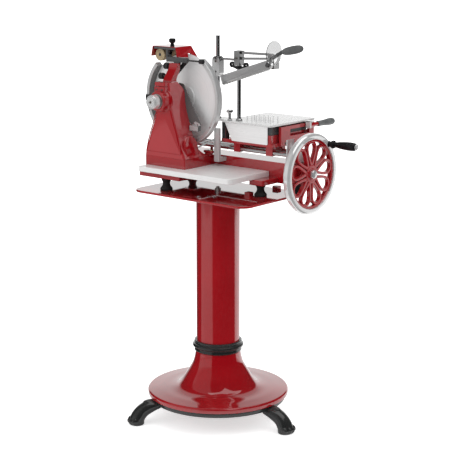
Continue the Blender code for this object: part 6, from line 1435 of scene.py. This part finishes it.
def make_press():
    piece(
        "slider_of_the_press", copied("press_slider"), press_metal, "press", "press_slider", "chrome",
        bevel=0.0012, angle=50
    )
    heads = [screw_head((TALL_POST_X, 0.0675, z), "Y", -1, 0.0042, 0.0022) for z in (1.196, 1.232)]
    heads.append(screw_head((SHORT_POST_X, 0.0665, 1.2475), "Y", -1, 0.0042, 0.0022))
    heads.append(screw_head((0.19, 0.056, 1.227), "Y", -1, 0.0036, 0.002))
    piece("screws_of_the_press", gathered(*heads), dark_steel, "press", slot="dark_steel")

    hub = [(0.0074, 1.21), (0.012, 1.21), (0.012, 1.215), (0.0098, 1.221), (0.0074, 1.221)]
    shells = [turned(hub, (SHORT_POST_X, PRESS_POST_Y, 0), "Z", 40, soft=0.001)]
    for side in (-1, 1):
        lobe_x = SHORT_POST_X + side * 0.03
        hole = arc(0.0035, 0, math.tau, 24, lobe_x, 1.224)[:-1]
        edge = arc(0.01, 0, math.tau, 24, lobe_x, 1.224)[:-1]
        shells.append(band(edge, hole, "Y", 0.0755, 0.0845, 0.0016))
        web = around_two(
            (SHORT_POST_X + side * 0.01, 1.2142), 0.0046, (SHORT_POST_X + side * 0.024, 1.2175), 0.004, 8
        )
        arm = slab(web, "Y", 0.0768, 0.0832)
        softened(arm, [edge for edge in arm.edges if edge.calc_face_angle(0.0) > SHARP_EDGE], 0.0012, 2)
        shells.append(arm)
    piece("wings_of_the_press_nut", gathered(*shells), black_plastic, "wing_nut", "wing_nut", "black_grip")

    piece(
        "toothed_bar_of_the_press", copied("press_bar"), bar_steel, "press_bar", "press_bar", "chrome",
        bevel=0.0007, angle=40
    )
    # Three thin strips nearly flush with the bar's face: the two chrome ones are painted highlights and the
    # dark one is a painted shadow line
    for name, low, high, front, look in (
        ("lip", -0.0105, -0.007, 0.0407, chrome), ("shadow_line", -0.0132, -0.0108, 0.0409, dark_steel),
        ("upper_highlight", 0.0138, 0.016, 0.0408, chrome),
    ):
        strip = []
        for run, height in ((-0.03, low), (-0.03, high), (-0.203, high), (-0.203, low)):
            strip.append((
                PIVOT_X + run * math.cos(BAR_TILT) - height * math.sin(BAR_TILT),
                PIVOT_Z + run * math.sin(BAR_TILT) + height * math.cos(BAR_TILT),
            ))
        piece(
            name + "_of_the_press_bar", slab(strip, "Y", front, 0.0416, soft=0.0006), look, "press_bar",
            slot="chrome"
        )
    pivot = oblong(0, 0.0395, 0.0085, 0.0412)
    piece(
        "pivot_of_the_press_bar", turned(pivot, (PIVOT_X, 0, PIVOT_Z), "Y", 40, soft=0.0006), dark_steel,
        "press_bar", slot="dark_steel",
    )

    elbow = (0.1972, 1.2581)
    wrist = (elbow[0] + 0.052 * math.cos(math.radians(29)), elbow[1] + 0.052 * math.sin(math.radians(29)))
    root = slab(around_two((PIVOT_X, PIVOT_Z), 0.0062, elbow, 0.006, 10), "Y", 0.0341, 0.0406)
    arm = slab(around_two(elbow, 0.006, wrist, 0.0058, 10), "Y", 0.0341, 0.0406)
    lever = melded(root, joined=[arm])
    rise = math.radians(12)
    along = Vector((math.cos(rise), 0.0, math.sin(rise)))
    over = Vector((-math.sin(rise), 0.0, math.cos(rise)))
    start = Vector((wrist[0], 0.03735, wrist[1]))
    shares = [
        (0.0, 0.4), (0.04, 0.62), (0.14, 0.8), (0.3, 0.95), (0.5, 1.0), (0.75, 0.97), (0.92, 0.78),
        (0.99, 0.45), (1.0, 0.25)
    ]
    stations = [(start + along * 0.086 * x, (0, 1, 0), over, 0.011 * r, 0.0145 * r) for x, r in shares]
    paddle = smoothed(limb(stations, 16))
    piece(
        "arm_of_the_press_handle", lever, dark_paint, "press_bar", slot="dark_steel", bevel=0.0012, angle=50,
    )
    piece("grip_of_the_press_handle", paddle, paddle_plastic, "press_bar", "press_handle", "dark_steel")

    disc = turned(oblong(0, 0.2, 0.041, 0.203), (0, 0.04645, 1.2765), "X", 72, soft=0.0007)
    slot = block((0.195, 0.0337, 1.2505), (0.208, 0.041, 1.27))
    piece("clear_disc_of_the_press", melded(disc, cut=[slot]), clear, "press_bar", "hand_guard", "clear")


# Sharpener


def make_sharpener():
    front = flowing([(-0.07, 1.1653), (-0.069, 1.17), (-0.053, 1.192), (-0.0395, 1.211), (-0.036, 1.2262)], 4)
    back = flowing([(-0.04, 1.1653), (-0.0385, 1.175), (-0.03, 1.19), (-0.0222, 1.205), (-0.0206, 1.2262)], 4)
    neck = slab(front + back[::-1], "X", -0.1855, -0.1495)
    fixed(
        "neck_of_the_sharpener", neck, red_enamel, "sharpener_neck", "red_enamel", bevel=0.0035, rings=4,
        angle=50,
    )
    for name, z, y in (("upper", 1.214, -0.0283), ("lower", 1.182, -0.054)):
        stud = turned(oblong(0, -0.1858, 0.0035, -0.196), (0, y, z), "X", 24)
        grip = knurled((0, y, z), "X", -0.2118, -0.1948, 0.011, 24, 0.001)
        end = turned([(0, -0.2116), (0.007, -0.2116), (0.006, -0.2124), (0, -0.2126)], (0, y, z), "X", 32)
        piece(
            name + "_knob_of_the_neck", gathered(stud, grip, end), black_plastic, name + "_neck_knob",
            name + "_neck_knob", "black_grip",
        )

    piece(
        "body_of_the_sharpener", copied("sharpener_body"), dark_paint, "sharpener", "sharpener_body",
        "dark_steel", bevel=0.001, angle=50,
    )
    sheet = [
        (-0.2845, 1.2432), (-0.277, 1.2788), (-0.17, 1.2788), (-0.165, 1.2458), (-0.167, 1.2455),
        (-0.1718, 1.2768), (-0.2753, 1.2768), (-0.2825, 1.2428),
    ]
    hood = slab(sheet, "Y", -0.02, 0.062, soft=[0.0, 0.0035, 0.0035, 0.0, 0.0, 0.0015, 0.0015, 0.0])
    for vert in hood.verts:
        if vert.co.y > 0.05 and vert.co.x > -0.1725 and vert.co.z < 1.26:
            vert.co += Vector((0.025, 0.0, -0.0068))
    way = block((-0.175, 0.024, 1.22), (-0.13, 0.0395, 1.2555))
    piece(
        "hood_of_the_sharpener", melded(hood, cut=[way]), red_enamel, "sharpener", "sharpener_hood",
        "red_enamel", bevel=0.0005, angle=40,
    )
    shares = [
        (0.0, 0.62), (0.04, 0.66), (0.38, 0.5), (0.44, 0.75), (0.6, 1.0), (0.8, 1.0), (0.94, 0.92), (1.0, 0.7)
    ]
    sides = swelling(shares, 0.0115, 1.2791, 0.027, 4)
    knob = turned([(0, 1.2791), *sides, (0, 1.3061)], (-0.2035, 0, 0), "Z", 48, soft=0.0006)
    piece("knob_of_the_hood", knob, black_plastic, "hood_knob", "hood_knob", "black_grip")

    for name, x, z, low, high, look in (
        ("front", -0.2556, 1.2475, -0.006, 0.0125, stone_front),
        ("back", -0.2226, 1.2433, 0.0405, 0.0495, stone_back),
    ):
        section = [
            (0.0053, low), (0.021, low), (0.021, high), (0.014, high), (0.014, high - 0.002),
            (0.0053, high - 0.002)
        ]
        stone = turned(section, (x, 0, z), "Y", 64, soft=0.0008)
        piece(name + "_grinding_wheel", stone, look, name + "_stone", name + "_stone", "grinding_stone")
        flange = [
            (0.0052, high - 0.0022), (0.0095, high - 0.0022), (0.009, high - 0.0002), (0.0052, high - 0.0002)
        ]
        piece(
            name + "_stone_flange", turned(flange, (x, 0, z), "Y", 32), dark_steel, name + "_stone",
            slot="dark_steel",
        )

    lever = slab(around_two((STRAP_X, STRAP_Z), 0.008, (-0.192, 1.173), 0.0055, 12), "Y", -0.01, -0.0055)
    piece(
        "strap_of_the_sharpener", lever, black_plastic, "sharpener_lever", "sharpener_lever", "black_grip",
        bevel=0.0009, angle=50
    )
    place = (STRAP_X, -0.01, STRAP_Z)
    screws("screw_of_the_strap", [place], "Y", -1, 0.0046, 0.002, dark_steel, "sharpener_lever", "dark_steel")
    stem = turned(oblong(0, -0.1197, 0.003, -0.066), (0, -0.0153, STRAP_Z), "X", 24)
    grip = knurled((0, -0.0153, STRAP_Z), "X", -0.0667, -0.0507, 0.008, 20, 0.0008)
    piece(
        "knob_of_the_adjuster", gathered(stem, grip), black_plastic, "adjuster_knob", "adjuster_knob",
        "black_grip"
    )


# The room


def card(name, relative_yaw, distance, height, width, tall, strength, glossy=False):
    """A soft light whose face looks at the machine. The yaw is counted from the camera's own."""
    yaw = CAMERA_YAW + math.radians(relative_yaw)
    light = bpy.data.lights.new(name, "AREA")
    light.shape = "RECTANGLE"
    light.size = width
    light.size_y = tall
    light.energy = strength * math.pi * width * tall
    holder = placed(name, light)
    holder.location = (distance * math.cos(yaw), distance * math.sin(yaw), height)
    target = Vector((0.0, 0.0, 0.75))
    holder.rotation_euler = (target - holder.location).to_track_quat("-Z", "Y").to_euler()
    holder.visible_camera = False
    holder.visible_glossy = glossy


def make_studio_sectors():
    """How bright the studio is in a direction: a strip on the left, the wall on the right and behind."""
    tree, given, result = effect(
        "studio_sectors", [("Direction", "vector", (0, 0, 0)), ("Wall From", "value", 1.74)],
        [("Brightness", "value")]
    )
    yaw = CAMERA_YAW
    toward = vectors(tree, "DOT_PRODUCT", given["Direction"], (math.cos(yaw), math.sin(yaw), 0.0))
    beside = vectors(tree, "DOT_PRODUCT", given["Direction"], (-math.sin(yaw), math.cos(yaw), 0.0))
    turned_by = maths(tree, "ARCTAN2", beside, toward)
    strip = ranged(tree, turned_by, -1.74, -1.66)
    strip = maths(tree, "MULTIPLY", strip, ranged(tree, turned_by, -0.56, -0.48, 1.0, 0.0))
    wall = ranged(tree, maths(tree, "SUBTRACT", turned_by, given["Wall From"]), -0.06, 0.06)
    behind = ranged(tree, turned_by, -2.7, -2.5, 1.0, 0.0)
    light = maths(tree, "MAXIMUM", maths(tree, "MULTIPLY", strip, 0.42), maths(tree, "MAXIMUM", wall, behind))
    feed(tree, result, {"Brightness": light})
    return tree


def make_room():
    sectors = make_studio_sectors()
    world = bpy.data.worlds.new("studio")
    bpy.context.scene.world = world
    world.use_nodes = True
    tree = world.node_tree
    tree.nodes.clear()
    place = node(tree, "ShaderNodeTexCoord").outputs["Generated"]
    height = node(tree, "ShaderNodeSeparateXYZ", {0: place}).outputs["Z"]
    around = use(tree, sectors, {"Direction": place, "Wall From": 2.6})["Brightness"]
    around = ranged(tree, around, 0.0, 1.0, 0.02, 0.95)
    around = maths(tree, "MULTIPLY", around, ranged(tree, height, 0.3, 0.5, 1.0, 0.5))
    rays = node(tree, "ShaderNodeLightPath").outputs
    lit = maths(tree, "MAXIMUM", around, maths(tree, "MULTIPLY", rays["Is Diffuse Ray"], 0.75))
    strength = maths(
        tree, "MAXIMUM", lit, maths(tree, "MAXIMUM", rays["Is Camera Ray"], rays["Is Transmission Ray"])
    )
    back = node(tree, "ShaderNodeBackground", {"Color": (1, 1, 1, 1), "Strength": strength})
    node(tree, "ShaderNodeOutputWorld", {"Surface": back.outputs[0]})

    mesh = bpy.data.meshes.new("floor")
    bm = bmesh.new()
    bmesh.ops.create_grid(bm, x_segments=1, y_segments=1, size=25.0)
    bm.to_mesh(mesh)
    bm.free()
    floor = placed("floor", mesh)
    paper, tree, shader = finish("pale_studio_floor")
    place = place_in(tree)
    pale = ranged(tree, noise(tree, place, 3.0, 4.0, 0.6), 0.3, 0.7, 0.9, 0.93)
    rays = node(tree, "ShaderNodeLightPath").outputs
    away = vectors(tree, "LENGTH", place)
    # For glossy rays the floor is darkened outside the studio's lit sectors: a painted dark reflection for
    # the machine's glossy parts
    lit_part = use(tree, sectors, {"Direction": place})["Brightness"]
    unlit = maths(tree, "SUBTRACT", 1.0, lit_part)
    mirrored = maths(tree, "MULTIPLY", unlit, rays["Is Glossy Ray"])
    dark = maths(tree, "MULTIPLY", mirrored, ranged(tree, away, 0.4, 0.75, 0.0, 0.97))
    pale = maths(tree, "MULTIPLY", pale, maths(tree, "SUBTRACT", 1.0, dark))
    feed(tree, shader, {
        "Base Color": node(tree, "ShaderNodeCombineColor", {0: pale, 1: pale, 2: pale}).outputs[0],
        "Roughness": 0.9,
        "Specular IOR Level": 0.0,
        "Emission Color": (1, 1, 1, 1),
        "Emission Strength": maths(
            tree, "MULTIPLY", ranged(tree, away, 0.5, 2.5, 0.55, 0.98), rays["Is Camera Ray"]
        ),
    })
    raised(tree, shader, noise(tree, place_in(tree), 900.0, 3.0, 0.6), 0.0001)
    mesh.materials.append(paper)

    card("left_softbox", -57, 3.4, 1.35, 3.4, 2.4, 1.5)
    card("right_softbox", 104, 3.2, 1.3, 3.4, 2.4, 1.1)
    card("top_softbox", 60, 0.8, 3.6, 3.2, 3.2, 1.1, glossy=True)

    camera = bpy.data.cameras.new("camera")
    camera.lens = 115.26
    camera.sensor_width = 36.0
    camera.clip_end = 60.0
    holder = placed("camera", camera)
    holder.location = CAMERA_PLACE
    holder.rotation_euler = Vector(CAMERA_AIM).to_track_quat("-Z", "Y").to_euler()
    bpy.context.scene.camera = holder
    bpy.context.scene.view_settings.view_transform = "Standard"


# What stays as the CAD part has it, with its own finish

KEPT_LOOKS = (
    (
        dark_steel,
        ("tie_rod", "wheel_bearing_left", "wheel_bearing_right", "blade_bearing_front", "blade_bearing_back")
    ),
    (drive_steel, ("wheel_shaft", "cross_shaft", "chain_spindle", "idler_sprocket", "blade_shaft")),
    (chain_steel, ("blade_chain", "carriage_chain")),
)

for kept_look, kept_names in KEPT_LOOKS:
    for kept_name in kept_names:
        for place in frame["nodes"][kept_name].material_slots:
            place.material = kept_look

make_pedestal()
make_base()
make_tower()
make_blade_head()
make_flywheel()
make_carriage()
make_press()
make_sharpener()
make_room()
